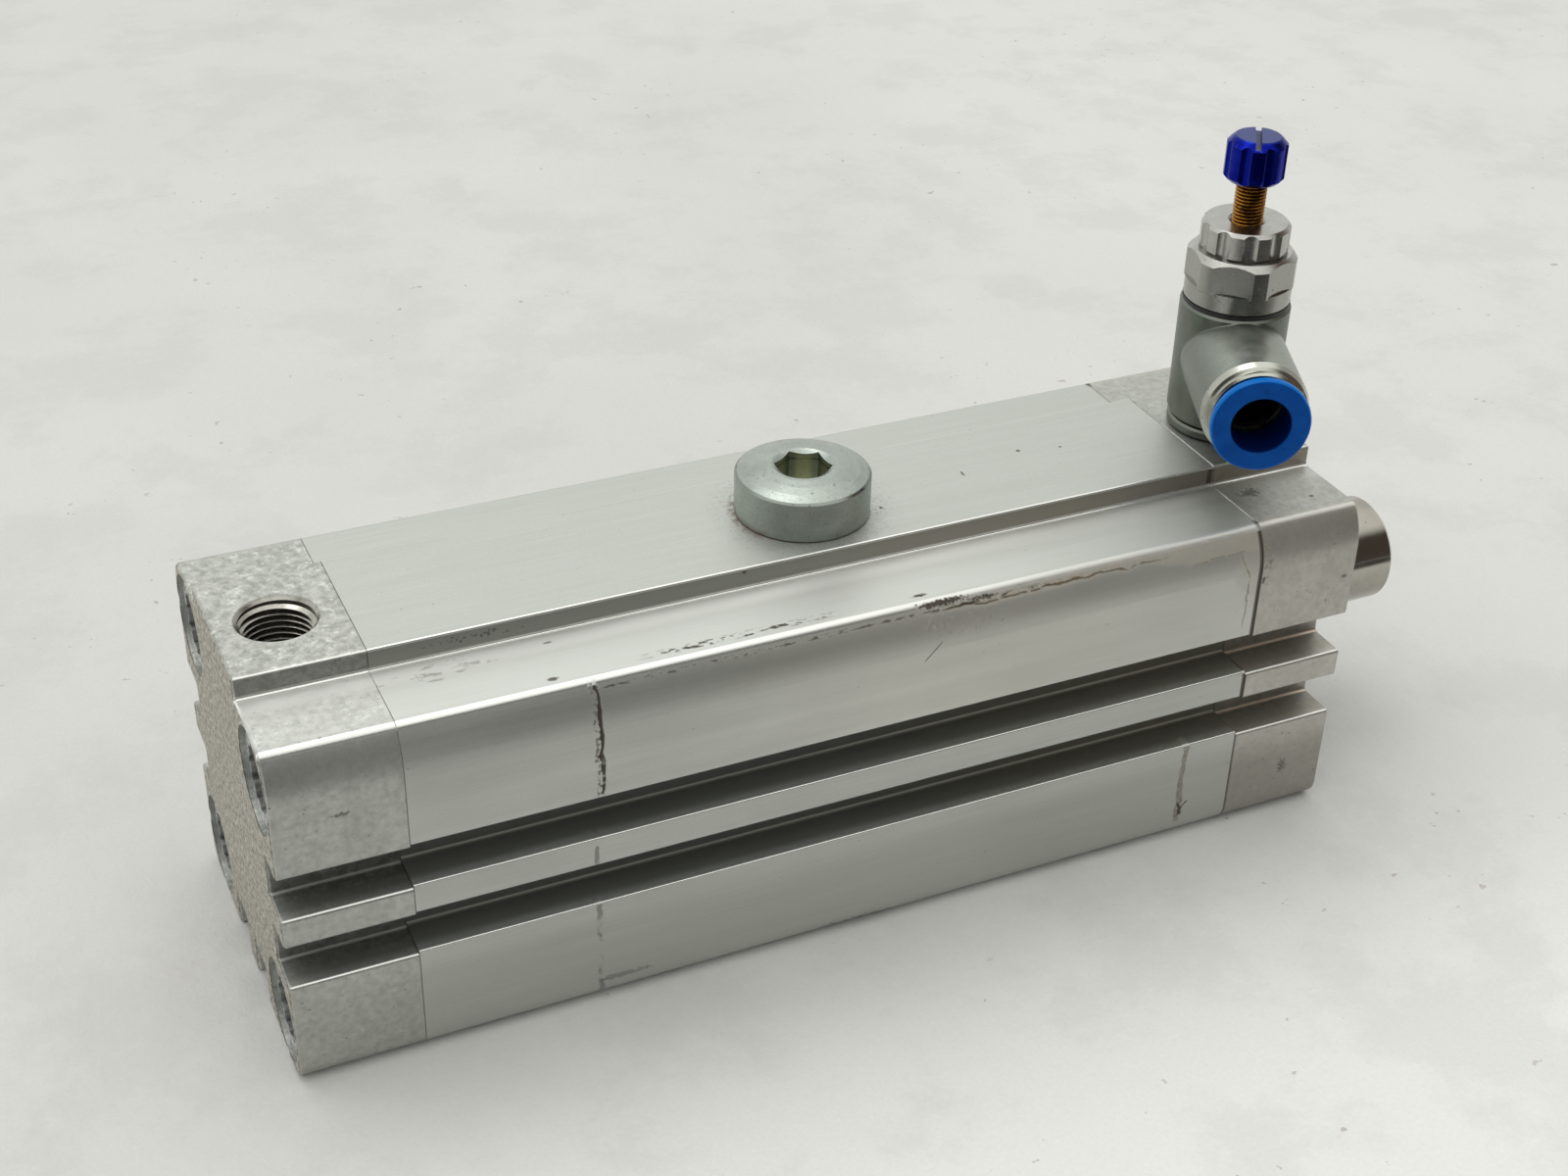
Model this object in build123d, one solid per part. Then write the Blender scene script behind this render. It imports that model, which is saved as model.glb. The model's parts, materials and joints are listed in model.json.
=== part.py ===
from build123d import *
import math
import os

# Compact double-acting profile cylinder with a flow control valve in its front port.
# Millimetres. The origin is the centre of the rear face, on the axis of the bore.
# +X runs along the bore towards the rod, +Z points to the side with the ports.

# ---- driving dimensions: profile ----
WIDTH = 50.0
HALF = WIDTH / 2
BODY_LENGTH = 153.4
CAP_LENGTH = 16.4
TOP_CORNER_R = 10.0
BOTTOM_CORNER_R = 3.2
TOP_FLAT_HALF = 22.7
RIDGE_HALF = 11.15
RIDGE_HEIGHT = 3.0
TOP_Z = HALF + RIDGE_HEIGHT
GROOVE_INNER = 2.15
GROOVE_OUTER = 8.35
GROOVE_DEPTH = 5.75
CAP_GROOVE_DROP = 0.5
TOP_EDGE_R = 1.2
BARREL_EDGE_R = 0.25
CAP_EDGE_R = 0.5
CAP_END_CHAMFER = 0.3
REAR_SEAM_CHAMFER = 0.1
FRONT_SEAM_CHAMFER = 0.3
BORE_R = 16.0

# ---- driving dimensions: caps ----
SPIGOT_LENGTH = 5.5
SPIGOT_R = BORE_R - 0.05
SPIGOT_GROOVE_R = 14.5
SPIGOT_GROOVE_WIDTH = 2.4
SPIGOT_GROOVE_OFFSET = 1.3
BOSS_R = 11.0
CAVITY_R = 13.8
CAVITY_DEPTH = 14.5
BUFFER_SEAT_R = 10.0
BUFFER_SEAT_DEPTH = 2.5
BUFFER_PROUD = 0.95
BUFFER_THICKNESS = BUFFER_SEAT_DEPTH + BUFFER_PROUD
REAR_RECESS_R = 6.6
REAR_RECESS_DEPTH = 8.0

# ---- driving dimensions: ports ----
PORT_OFFSET = 8.1
PORT_R = 4.86
PORT_MOUTH_R = 5.35
PORT_DEPTH = 10.5
PORT_DRILL_R = 2.5
PORT_DRILL_FLOOR_Z = 12.5
PLUG_X = 79.0
PLUG_THREAD_R = 6.58
PLUG_PORT_DEPTH = 9.5
PLUG_BLEED_R = 1.25

# ---- driving dimensions: cap screws ----
SCREW_SPACING = 36.0
SCREW_SEAT_R = 6.8
SCREW_SEAT_DEPTH = 5.2
SCREW_HEAD_R = 6.35
SCREW_HEAD_SUNK = 0.6
SCREW_HEAD_BEVEL = 0.4
SCREW_POINT_BEVEL = 0.7
SCREW_SHANK_R = 4.7
SCREW_HOLE_R = 4.8
SCREW_LENGTH = 31.0
SCREW_CHANNEL_R = 4.75
SCREW_TEETH = 12
SCREW_TOOTH_TIP_R = 4.75
SCREW_TOOTH_ROOT_R = 3.95
SCREW_SOCKET_DEPTH = 2.8
SCREW_THREAD_R = 3.0
SCREW_THREAD_DEPTH = 14.0

# ---- driving dimensions: rod and piston ----
ROD_R = 8.0
ROD_PROTRUSION = 22.8
ROD_EXTENSION = 15.0
ROD_NECK_R = 5.0
ROD_END_CHAMFER = 0.8
ROD_THREAD_R = 5.0
ROD_THREAD_DEPTH = 18.0
RUNNING = 0.03
PISTON_LENGTH = 17.5
PISTON_R = 15.8
MAGNET_START = 8.0
MAGNET_LENGTH = 3.9
PISTON_SPLIT = MAGNET_START + MAGNET_LENGTH
SEAL_GROOVE_R = 13.2
SEAL_WIDTH = 3.0
GUIDE_GROOVE_R = 14.3
GUIDE_START = 4.6
GUIDE_WIDTH = 2.8
MAGNET_SEAT_R = 11.5
MAGNET_R = 15.3
PISTON_SCREW_R = 3.0
PISTON_SCREW_LENGTH = 12.0
PISTON_SCREW_HEAD_R = 6.0
PISTON_SCREW_HEAD_LENGTH = 4.0
PISTON_SCREW_HEX_FLATS = 5.0
ROD_O_RING_R = 5.7
ROD_O_RING_THICKNESS = 0.68
BEARING_R = 9.0
BEARING_LENGTH = 12.0
ROD_SEAL_R = 11.5
ROD_SEAL_LENGTH = 5.4

# ---- driving dimensions: plug ----
PLUG_R = 9.15
PLUG_RIM_HEIGHT = 5.8
PLUG_CROWN_HEIGHT = 6.9
PLUG_LAND_R = 4.8
PLUG_SEAL_R = 8.15
PLUG_SEAL_HEIGHT = 0.85
PLUG_THREAD_CLEARANCE = 0.08
PLUG_HEX_FLATS = 6.8
PLUG_HEX_DEPTH = 5.5
PLUG_HEX_TURN = -26.0

# ---- driving dimensions: flow control valve ----
VALVE_X = BODY_LENGTH - PORT_OFFSET
BOLT_LENGTH_IN_PORT = 7.6
BOLT_THREAD_CLEARANCE = 0.04
SEAL_RING_HEIGHT = 1.7
SEAL_RING_R = 7.5
SWIVEL_BOTTOM = TOP_Z + 1.9
SWIVEL_TOP = TOP_Z + 19.45
SWIVEL_R = 7.7
SWIVEL_BORE_R = 5.85
SWIVEL_CAVITY_R = 6.8
SWIVEL_CREASE_R = 0.3
LOWER_GROOVE_R = 4.9
STEM_SEAL_R = 3.2
SPINDLE_R = 5.8
SPINDLE_BORE_R = 2.7
SPINDLE_INLET_R = 2.6
SPINDLE_SEAT_R = 1.6
SPINDLE_SEAT_HEIGHT = 4.1
SPINDLE_CROSS_R = 1.2
STEM_GUIDE_LENGTH = 1.3
UPPER_RING_HEIGHT = 0.5
FLANGE_R = 7.4
FLANGE_HEIGHT = 2.2
HEX_FLATS = 14.0
HEX_CORNER_R = 7.55
HEX_HEIGHT = 5.1
HEX_TURN = 47.0
STEM_R = 2.15
STEM_CLEARANCE = 0.05
STEM_TIP_R = 1.9
STEM_IN_KNOB = 3.6
STEM_SOCKET_R = 1.25
STEM_SOCKET_DEPTH = 4.0
LOCK_NUT_R = 6.1
LOCK_NUT_HEIGHT = 4.0
LOCK_NUT_FLUTES = 10
LOCK_NUT_TURN = 26.6
KNOB_R = 4.12
KNOB_HEIGHT = 6.2
KNOB_GAP = 5.9
KNOB_FLUTES = 8
KNOB_TURN = 35.7
KNOB_SLOT_WIDTH = 0.8
KNOB_SLOT_TURN = 56.0
OUTLET_Z = 39.8
OUTLET_TURN = -113.5
OUTLET_R = 7.3
OUTLET_REACH = 20.3
RIM_R = 6.6
RIM_WIDTH = 1.0
RELEASE_TRAVEL = 1.0
RELEASE_R = 6.75
RELEASE_WIDTH = 1.4
TUBE_R = 4.05

# ---- derived places ----
REAR_SEAM = CAP_LENGTH
FRONT_SEAM = BODY_LENGTH - CAP_LENGTH
REAR_SPIGOT_END = REAR_SEAM + SPIGOT_LENGTH
FRONT_SPIGOT_END = FRONT_SEAM - SPIGOT_LENGTH
STOP_CLEARANCE = 0.05
PISTON_X = REAR_SPIGOT_END + BUFFER_PROUD + STOP_CLEARANCE + ROD_EXTENSION
PISTON_END = PISTON_X + PISTON_LENGTH
ROD_END = BODY_LENGTH + ROD_PROTRUSION
UPPER_RING_Z = SWIVEL_TOP + 0.05
FLANGE_Z = UPPER_RING_Z + UPPER_RING_HEIGHT
HEX_Z = FLANGE_Z + FLANGE_HEIGHT
NUT_Z = HEX_Z + HEX_HEIGHT
KNOB_Z = NUT_Z + LOCK_NUT_HEIGHT + KNOB_GAP
VALVE = Pos(VALVE_X, 0, 0)
OUTLET = Location((VALVE_X, 0, OUTLET_Z), (0, 0, OUTLET_TURN))
MIRROR_X = Plane.YZ.offset(BODY_LENGTH / 2)


# ---- small shape helpers ----
def turned_z(*points):
    """Solid of revolution about Z from an outline of (radius, height) points."""
    outline = make_face(Polyline(*points, close=True))
    return revolve(Plane.XZ * outline, Axis.Z)


def turned_x(*points):
    """Solid of revolution about X from an outline of (x, radius) points."""
    outline = make_face(Polyline(*points, close=True))
    return revolve(outline, Axis.X)


def rod_x(radius, start, end, y=0.0, z=0.0):
    """Round bar along X between two x positions."""
    return Plane.YZ.offset(start) * extrude(Pos(y, z) * Circle(radius), end - start)


def rod_z(radius, bottom, top):
    """Round bar along Z between two heights."""
    return Pos(0, 0, bottom) * extrude(Circle(radius), top - bottom)


def ring_x(outer, inner, start, end):
    return turned_x((start, inner), (start, outer), (end, outer), (end, inner))


def ring_z(outer, inner, bottom, top):
    return turned_z((inner, bottom), (outer, bottom), (outer, top), (inner, top))


def o_ring(radius, thickness):
    """Round-section ring about Z, given its centre-line radius and its section radius."""
    return Torus(radius, thickness)


def around_x(shape, x):
    """Turn a shape made about Z so that it lies about X at a given x."""
    return Pos(x, 0, 0) * Rot(0, 90, 0) * shape


def hexagon(flats, turn=0.0):
    return Rot(0, 0, turn) * RegularPolygon(flats / math.sqrt(3), 6)


def scallops(count, place_r, cut_r, bottom, top, turn=0.0):
    """Round-bottomed flutes about Z, to be cut from a knob or nut."""
    cuts = []
    for i in range(count):
        spin = Rot(0, 0, turn + 360 * i / count)
        cuts.append(spin * Pos(place_r, 0, 0) * rod_z(cut_r, bottom, top))
    return cuts


def edges_in_plane(shape, axis, value, tolerance=0.01):
    """Edges that lie wholly in the plane where the axis coordinate equals value."""
    found = []
    for edge in shape.edges():
        box = edge.bounding_box()
        low = getattr(box.min, axis)
        high = getattr(box.max, axis)
        if abs(low - value) < tolerance and abs(high - value) < tolerance:
            found.append(edge)
    return found


# ---- profile shared by the barrel and both caps ----
def top_corner_start():
    """Height at which each upper corner arc leaves the flat side."""
    inset = HALF - TOP_CORNER_R
    return HALF - math.sqrt(TOP_CORNER_R**2 - (TOP_FLAT_HALF - inset)**2)


def is_smooth(y, z):
    """True where a corner arc meets a flat without a sharp edge."""
    inset = HALF - BOTTOM_CORNER_R
    places = [(HALF, top_corner_start()), (HALF, -inset), (inset, -HALF), (HALF, 0)]
    on_rim = math.dist((abs(y), z), (TOP_FLAT_HALF, HALF)) < TOP_EDGE_R
    return on_rim or any(math.dist((abs(y), z), place) < 0.01 for place in places)


def profile(groove_shift=0.0):
    """Outline in the YZ plane: square with round corners, top ridge and six grooves."""
    arch_top = top_corner_start() + TOP_CORNER_R
    outline = RectangleRounded(WIDTH, 2 * arch_top, TOP_CORNER_R)
    outline -= Pos(0, HALF + 5) * Rectangle(WIDTH + 2, 10)
    outline -= Pos(0, -HALF) * Rectangle(WIDTH + 2, WIDTH)
    outline += RectangleRounded(WIDTH, WIDTH, BOTTOM_CORNER_R) - Pos(0, HALF) * Rectangle(WIDTH, WIDTH)
    outline += Pos(0, TOP_Z / 2) * Rectangle(2 * RIDGE_HALF, TOP_Z)
    groove_mid = (GROOVE_INNER + GROOVE_OUTER) / 2
    groove_width = GROOVE_OUTER - GROOVE_INNER
    groove_floor = HALF - GROOVE_DEPTH
    overcut = 2.0
    groove_centre = groove_floor + (GROOVE_DEPTH + overcut) / 2
    for side in (-1, 1):
        below = Pos(side * groove_mid, -groove_centre)
        outline -= below * Rectangle(groove_width, GROOVE_DEPTH + overcut)
        for face in (-1, 1):
            beside = Pos(face * groove_centre, side * groove_mid + groove_shift)
            outline -= beside * Rectangle(GROOVE_DEPTH + overcut, groove_width)
    return outline


def profile_bar(start, end, edge_r, groove_shift=0.0):
    """Length of profile along X, round at the rim of its top and slightly at other sharp edges."""
    bar = extrude(Plane.YZ.offset(start) * profile(groove_shift), end - start)
    rims = []
    for edge in bar.edges().filter_by(Axis.X):
        middle = edge.center()
        if math.dist((abs(middle.Y), middle.Z), (TOP_FLAT_HALF, HALF)) < 0.01:
            rims.append(edge)
    bar = fillet(rims, TOP_EDGE_R)
    sharp = []
    for edge in bar.edges().filter_by(Axis.X):
        middle = edge.center()
        if not is_smooth(middle.Y, middle.Z):
            sharp.append(edge)
    return fillet(sharp, edge_r)


def screw_places():
    half = SCREW_SPACING / 2
    return [(y, z) for y in (-half, half) for z in (-half, half)]


# ---- housing ----
def barrel():
    body = profile_bar(REAR_SEAM, FRONT_SEAM, BARREL_EDGE_R)
    body -= rod_x(BORE_R, REAR_SEAM, FRONT_SEAM)
    for y, z in screw_places():
        body -= rod_x(SCREW_CHANNEL_R, REAR_SEAM, FRONT_SEAM, y, z)
    floor = TOP_Z - PLUG_PORT_DEPTH
    body -= Pos(PLUG_X, 0, 0) * rod_z(PLUG_THREAD_R, floor, TOP_Z + 1)
    body -= Pos(PLUG_X, 0, 0) * rod_z(PLUG_BLEED_R, 0, floor + 1)
    return body


def cap(seam_chamfer):
    """Cap blank at the rear end: profile, spigot, seal groove, annular chamber and port."""
    body = profile_bar(0, REAR_SEAM, CAP_EDGE_R, -CAP_GROOVE_DROP)
    body = chamfer(edges_in_plane(body, "X", REAR_SEAM), seam_chamfer)
    body = chamfer(edges_in_plane(body, "X", 0), CAP_END_CHAMFER)
    body += rod_x(SPIGOT_R, REAR_SEAM - 1, REAR_SPIGOT_END)
    groove = REAR_SEAM + SPIGOT_GROOVE_OFFSET
    body -= ring_x(BORE_R + 1, SPIGOT_GROOVE_R, groove, groove + SPIGOT_GROOVE_WIDTH)
    body -= ring_x(CAVITY_R, BOSS_R, REAR_SPIGOT_END - CAVITY_DEPTH, REAR_SPIGOT_END + 1)
    body -= rod_x(BUFFER_SEAT_R, REAR_SPIGOT_END - BUFFER_SEAT_DEPTH, REAR_SPIGOT_END + 1)
    for y, z in screw_places():
        body -= rod_x(SCREW_HOLE_R, -1, REAR_SEAM + 1, y, z)
        body -= rod_x(SCREW_SEAT_R, -1, SCREW_SEAT_DEPTH, y, z)
    mouth = PORT_MOUTH_R - PORT_R
    port = turned_z(
        (0, PORT_DRILL_FLOOR_Z), (PORT_DRILL_R, PORT_DRILL_FLOOR_Z),
        (PORT_DRILL_R, TOP_Z - PORT_DEPTH), (PORT_R, TOP_Z - PORT_DEPTH),
        (PORT_R, TOP_Z - mouth), (PORT_MOUTH_R, TOP_Z), (PORT_MOUTH_R, TOP_Z + 1), (0, TOP_Z + 1),
    )
    return body - Pos(PORT_OFFSET, 0, 0) * port


def rear_cap():
    recess = rod_x(REAR_RECESS_R, REAR_SPIGOT_END - REAR_RECESS_DEPTH, REAR_SPIGOT_END + 1)
    return cap(REAR_SEAM_CHAMFER) - recess


def front_cap():
    body = cap(FRONT_SEAM_CHAMFER).mirror(MIRROR_X)
    body -= rod_x(ROD_R + 0.5, FRONT_SPIGOT_END - 1, BODY_LENGTH + 1)
    body -= rod_x(BEARING_R, bearing_start(), BODY_LENGTH + 1)
    return body - rod_x(ROD_SEAL_R, seal_start(), BODY_LENGTH + 1)


def bearing_start():
    return FRONT_SPIGOT_END + BUFFER_SEAT_DEPTH + 0.7


def seal_start():
    return BODY_LENGTH - ROD_SEAL_LENGTH - 0.8


def cap_screw():
    """Hollow cap screw about Z with its head up at z = 0: toothed socket over a female thread."""
    head_bottom = SCREW_HEAD_SUNK - SCREW_SEAT_DEPTH
    tip = SCREW_HEAD_SUNK - SCREW_LENGTH
    screw = turned_z(
        (0, tip), (SCREW_SHANK_R - SCREW_POINT_BEVEL, tip), (SCREW_SHANK_R, tip + SCREW_POINT_BEVEL),
        (SCREW_SHANK_R, head_bottom), (SCREW_HEAD_R, head_bottom), (SCREW_HEAD_R, -SCREW_HEAD_BEVEL),
        (SCREW_HEAD_R - SCREW_HEAD_BEVEL, 0), (0, 0),
    )
    teeth = []
    for i in range(2 * SCREW_TEETH):
        radius = SCREW_TOOTH_TIP_R if i % 2 == 0 else SCREW_TOOTH_ROOT_R
        angle = math.pi * i / SCREW_TEETH
        teeth.append((radius * math.cos(angle), radius * math.sin(angle)))
    socket = extrude(make_face(Polyline(*teeth, close=True)), -SCREW_SOCKET_DEPTH)
    return screw - socket - rod_z(SCREW_THREAD_R, -SCREW_SOCKET_DEPTH - SCREW_THREAD_DEPTH, 1)


def cap_screws(at_rear):
    """Four screws as one group, heads outwards at the chosen end."""
    screw = cap_screw()
    x = SCREW_HEAD_SUNK if at_rear else BODY_LENGTH - SCREW_HEAD_SUNK
    tilt = -90 if at_rear else 90
    return Compound([Pos(x, y, z) * Rot(0, tilt, 0) * screw for y, z in screw_places()])


def cap_o_ring(at_rear):
    centre = REAR_SEAM + SPIGOT_GROOVE_OFFSET + SPIGOT_GROOVE_WIDTH / 2
    x = centre if at_rear else BODY_LENGTH - centre
    section = (BORE_R - SPIGOT_GROOVE_R) / 2 - 0.02
    return around_x(o_ring((BORE_R + SPIGOT_GROOVE_R) / 2, section), x)


def buffer_ring(inner, at_rear):
    """Elastic end stop that stands a little proud of its seat in the cap."""
    seat = REAR_SPIGOT_END - BUFFER_SEAT_DEPTH
    crown = seat + BUFFER_THICKNESS
    ring = turned_x(
        (seat, inner), (seat, BUFFER_SEAT_R), (crown - 0.5, BUFFER_SEAT_R),
        (crown, BUFFER_SEAT_R - 0.5), (crown, inner + 0.3), (crown - 0.3, inner),
    )
    return ring if at_rear else ring.mirror(MIRROR_X)


def rod_bearing():
    start = bearing_start()
    return ring_x(BEARING_R, ROD_R + RUNNING, start, start + BEARING_LENGTH)


def rod_seal():
    """Seal lip towards the chamber and wiper lip towards the outside, in one ring."""
    start = seal_start()
    end = start + ROD_SEAL_LENGTH
    lip = ROD_R + RUNNING
    return turned_x(
        (start + 0.4, ROD_SEAL_R), (end, ROD_SEAL_R), (end, ROD_R + 1.6), (end + 0.6, lip + 0.25),
        (end + 0.4, lip), (end - 0.6, ROD_R + 0.9), (start + 2.2, ROD_R + 0.9), (start + 0.6, lip),
        (start, lip + 0.4), (start + 1.4, ROD_R + 2.0), (start + 0.4, ROD_SEAL_R - 0.8),
    )


# ---- piston and rod ----
def piston_rear():
    seal = SEAL_WIDTH + 0.1
    guide_end = GUIDE_START + GUIDE_WIDTH + 0.1
    body = turned_x(
        (0, ROD_NECK_R), (0, PISTON_R - 0.5), (0.4, PISTON_R), (0.8, PISTON_R), (0.8, SEAL_GROOVE_R),
        (0.8 + seal, SEAL_GROOVE_R), (0.8 + seal, PISTON_R), (GUIDE_START, PISTON_R),
        (GUIDE_START, GUIDE_GROOVE_R), (guide_end, GUIDE_GROOVE_R), (guide_end, PISTON_R),
        (MAGNET_START, PISTON_R), (MAGNET_START, MAGNET_SEAT_R), (PISTON_SPLIT, MAGNET_SEAT_R),
        (PISTON_SPLIT, ROD_NECK_R),
    )
    return Pos(PISTON_X, 0, 0) * body


def piston_front():
    end = PISTON_LENGTH
    seal = end - 0.8 - SEAL_WIDTH - 0.1
    body = turned_x(
        (PISTON_SPLIT, ROD_NECK_R), (PISTON_SPLIT, PISTON_R), (seal, PISTON_R), (seal, SEAL_GROOVE_R),
        (end - 0.8, SEAL_GROOVE_R), (end - 0.8, PISTON_R), (end - 0.4, PISTON_R),
        (end, PISTON_R - 0.5), (end, ROD_NECK_R),
    )
    o_ring_seat = ring_x(6.4, ROD_NECK_R - 1, PISTON_SPLIT + 1.4, PISTON_SPLIT + 3.2)
    return Pos(PISTON_X, 0, 0) * (body - o_ring_seat)


def magnet_ring():
    return Pos(PISTON_X, 0, 0) * ring_x(MAGNET_R, MAGNET_SEAT_R, MAGNET_START, PISTON_SPLIT)


def piston_seal(at_rear):
    """Lip seal whose open side faces its own chamber."""
    root = SEAL_GROOVE_R + RUNNING
    tip = BORE_R - RUNNING
    ring = turned_x(
        (0, root), (0, root + 0.9), (1.2, (root + tip) / 2), (0, tip - 0.7), (0.2, tip),
        (1.6, tip - 0.25), (SEAL_WIDTH, tip - 0.45), (SEAL_WIDTH, root),
    )
    if at_rear:
        return Pos(PISTON_X + 0.85, 0, 0) * ring
    return Pos(PISTON_END - 0.85, 0, 0) * ring.mirror(Plane.YZ)


def piston_guide_ring():
    inner = GUIDE_GROOVE_R + RUNNING
    outer = BORE_R - RUNNING
    return Pos(PISTON_X + GUIDE_START + 0.05, 0, 0) * ring_x(outer, inner, 0, GUIDE_WIDTH)


def piston_rod():
    body = turned_x(
        (PISTON_X, 0), (PISTON_X, ROD_NECK_R - 0.3), (PISTON_X + 0.3, ROD_NECK_R),
        (PISTON_END, ROD_NECK_R), (PISTON_END, ROD_R - 0.5), (PISTON_END + 0.5, ROD_R),
        (ROD_END - ROD_END_CHAMFER, ROD_R), (ROD_END, ROD_R - ROD_END_CHAMFER), (ROD_END, 0),
    )
    body -= rod_x(PISTON_SCREW_R, PISTON_X - 1, PISTON_X + PISTON_SCREW_LENGTH + 2)
    mouth = 1.0
    thread = turned_x(
        (ROD_END - ROD_THREAD_DEPTH - 2, 0), (ROD_END - ROD_THREAD_DEPTH, ROD_THREAD_R),
        (ROD_END - mouth, ROD_THREAD_R), (ROD_END, ROD_THREAD_R + mouth),
        (ROD_END + 1, ROD_THREAD_R + mouth), (ROD_END + 1, 0),
    )
    return body - thread


def piston_screw():
    """Cheese-head screw that draws both piston halves against the rod shoulder."""
    head = PISTON_X - PISTON_SCREW_HEAD_LENGTH
    tip = PISTON_X + PISTON_SCREW_LENGTH
    shank_r = PISTON_SCREW_R - 0.02
    body = turned_x(
        (head, 0), (head, PISTON_SCREW_HEAD_R - 0.4), (head + 0.4, PISTON_SCREW_HEAD_R),
        (PISTON_X, PISTON_SCREW_HEAD_R), (PISTON_X, shank_r), (tip, shank_r), (tip, 0),
    )
    return body - Plane.YZ.offset(head - 1) * extrude(hexagon(PISTON_SCREW_HEX_FLATS), 3.5)


def rod_o_ring():
    return around_x(o_ring(ROD_O_RING_R, ROD_O_RING_THICKNESS), PISTON_X + PISTON_SPLIT + 2.3)


# ---- plug ----
def port_plug():
    top = TOP_Z + PLUG_CROWN_HEIGHT
    rim = TOP_Z + PLUG_RIM_HEIGHT
    foot = TOP_Z - PLUG_PORT_DEPTH + 1
    thread_r = PLUG_THREAD_R - PLUG_THREAD_CLEARANCE
    recess_r = PLUG_SEAL_R + 0.05
    recess_top = TOP_Z + PLUG_SEAL_HEIGHT + 0.05
    body = turned_z(
        (0, foot), (thread_r, foot), (thread_r, recess_top), (recess_r, recess_top),
        (recess_r, TOP_Z + 0.05), (PLUG_R - 0.15, TOP_Z + 0.05), (PLUG_R, TOP_Z + 0.2),
        (PLUG_R, rim - 0.25), (PLUG_R - 0.3, rim), (PLUG_R - 1.55, rim + 0.5),
        (PLUG_R - 2.95, rim + 0.85), (PLUG_LAND_R, top), (0, top),
    )
    mouth = turned_z(
        (0, top - 0.6), (PLUG_LAND_R - 1.6, top - 0.6), (PLUG_LAND_R - 0.9, top - 0.15),
        (PLUG_LAND_R - 0.4, top + 0.1), (0, top + 0.1),
    )
    hex_bar = extrude(hexagon(PLUG_HEX_FLATS, PLUG_HEX_TURN), PLUG_HEX_DEPTH + 1)
    return Pos(PLUG_X, 0, 0) * (body - mouth - Pos(0, 0, top - PLUG_HEX_DEPTH) * hex_bar)


def plug_seal():
    return Pos(PLUG_X, 0, 0) * ring_z(PLUG_SEAL_R, PLUG_THREAD_R, TOP_Z, TOP_Z + PLUG_SEAL_HEIGHT)


# ---- flow control valve: fixed parts ----
def hollow_bolt():
    """Thread, spindle with cross holes, flange and hexagon head; the bore holds seat and stem."""
    foot = TOP_Z - BOLT_LENGTH_IN_PORT
    thread_r = PORT_R - BOLT_THREAD_CLEARANCE
    collar_z = SWIVEL_BOTTOM - 0.2
    body = turned_z(
        (0, foot), (thread_r - 0.6, foot), (thread_r, foot + 0.6), (thread_r, collar_z),
        (SPINDLE_R, collar_z), (SPINDLE_R, FLANGE_Z), (FLANGE_R - 0.2, FLANGE_Z),
        (FLANGE_R, FLANGE_Z + 0.2), (FLANGE_R, HEX_Z + 0.5), (0, HEX_Z + 0.5),
    )
    head = Pos(0, 0, HEX_Z) * extrude(hexagon(HEX_FLATS, HEX_TURN + 30), HEX_HEIGHT)
    bevel = turned_z(
        (0, HEX_Z), (HEX_CORNER_R - 0.2, HEX_Z), (HEX_CORNER_R, HEX_Z + 0.3),
        (HEX_CORNER_R, NUT_Z - 0.9), (HEX_FLATS / 2 - 0.3, NUT_Z), (0, NUT_Z),
    )
    body += head & bevel
    seat = SWIVEL_BOTTOM + SPINDLE_SEAT_HEIGHT
    guide_z = SWIVEL_TOP - STEM_GUIDE_LENGTH
    guide_r = STEM_R + STEM_CLEARANCE
    body -= turned_z(
        (0, foot - 1), (SPINDLE_INLET_R, foot - 1), (SPINDLE_INLET_R, seat), (SPINDLE_SEAT_R, seat + 0.5),
        (SPINDLE_SEAT_R, seat + 1.2), (SPINDLE_BORE_R, seat + 1.2), (SPINDLE_BORE_R, guide_z),
        (guide_r, guide_z), (guide_r, NUT_Z + 1), (0, NUT_Z + 1),
    )
    for turn in (0, 90):
        body -= Pos(0, 0, OUTLET_Z) * Rot(0, 90, turn) * Cylinder(SPINDLE_CROSS_R, 4 * SPINDLE_R)
    body -= ring_z(SPINDLE_R + 1, LOWER_GROOVE_R, lower_o_ring_z() - 0.8, lower_o_ring_z() + 0.8)
    body -= ring_z(STEM_SEAL_R, STEM_R - 0.5, stem_seal_z() - 0.6, stem_seal_z() + 0.6)
    return VALVE * body


def lower_o_ring_z():
    return SWIVEL_BOTTOM + 1.7


def stem_seal_z():
    return FLANGE_Z + 1.0


def stem_o_ring():
    centre_r = (STEM_R + STEM_SEAL_R) / 2
    section_r = (STEM_SEAL_R - STEM_R) / 2
    return VALVE * Pos(0, 0, stem_seal_z()) * o_ring(centre_r + 0.035, section_r - 0.045)


def bolt_seal_ring():
    top = TOP_Z + SEAL_RING_HEIGHT
    return VALVE * turned_z(
        (PORT_R, TOP_Z), (SEAL_RING_R - 0.5, TOP_Z), (SEAL_RING_R, TOP_Z + 0.5), (SEAL_RING_R, top - 0.3),
        (SEAL_RING_R - 0.3, top), (PORT_R, top),
    )


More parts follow.
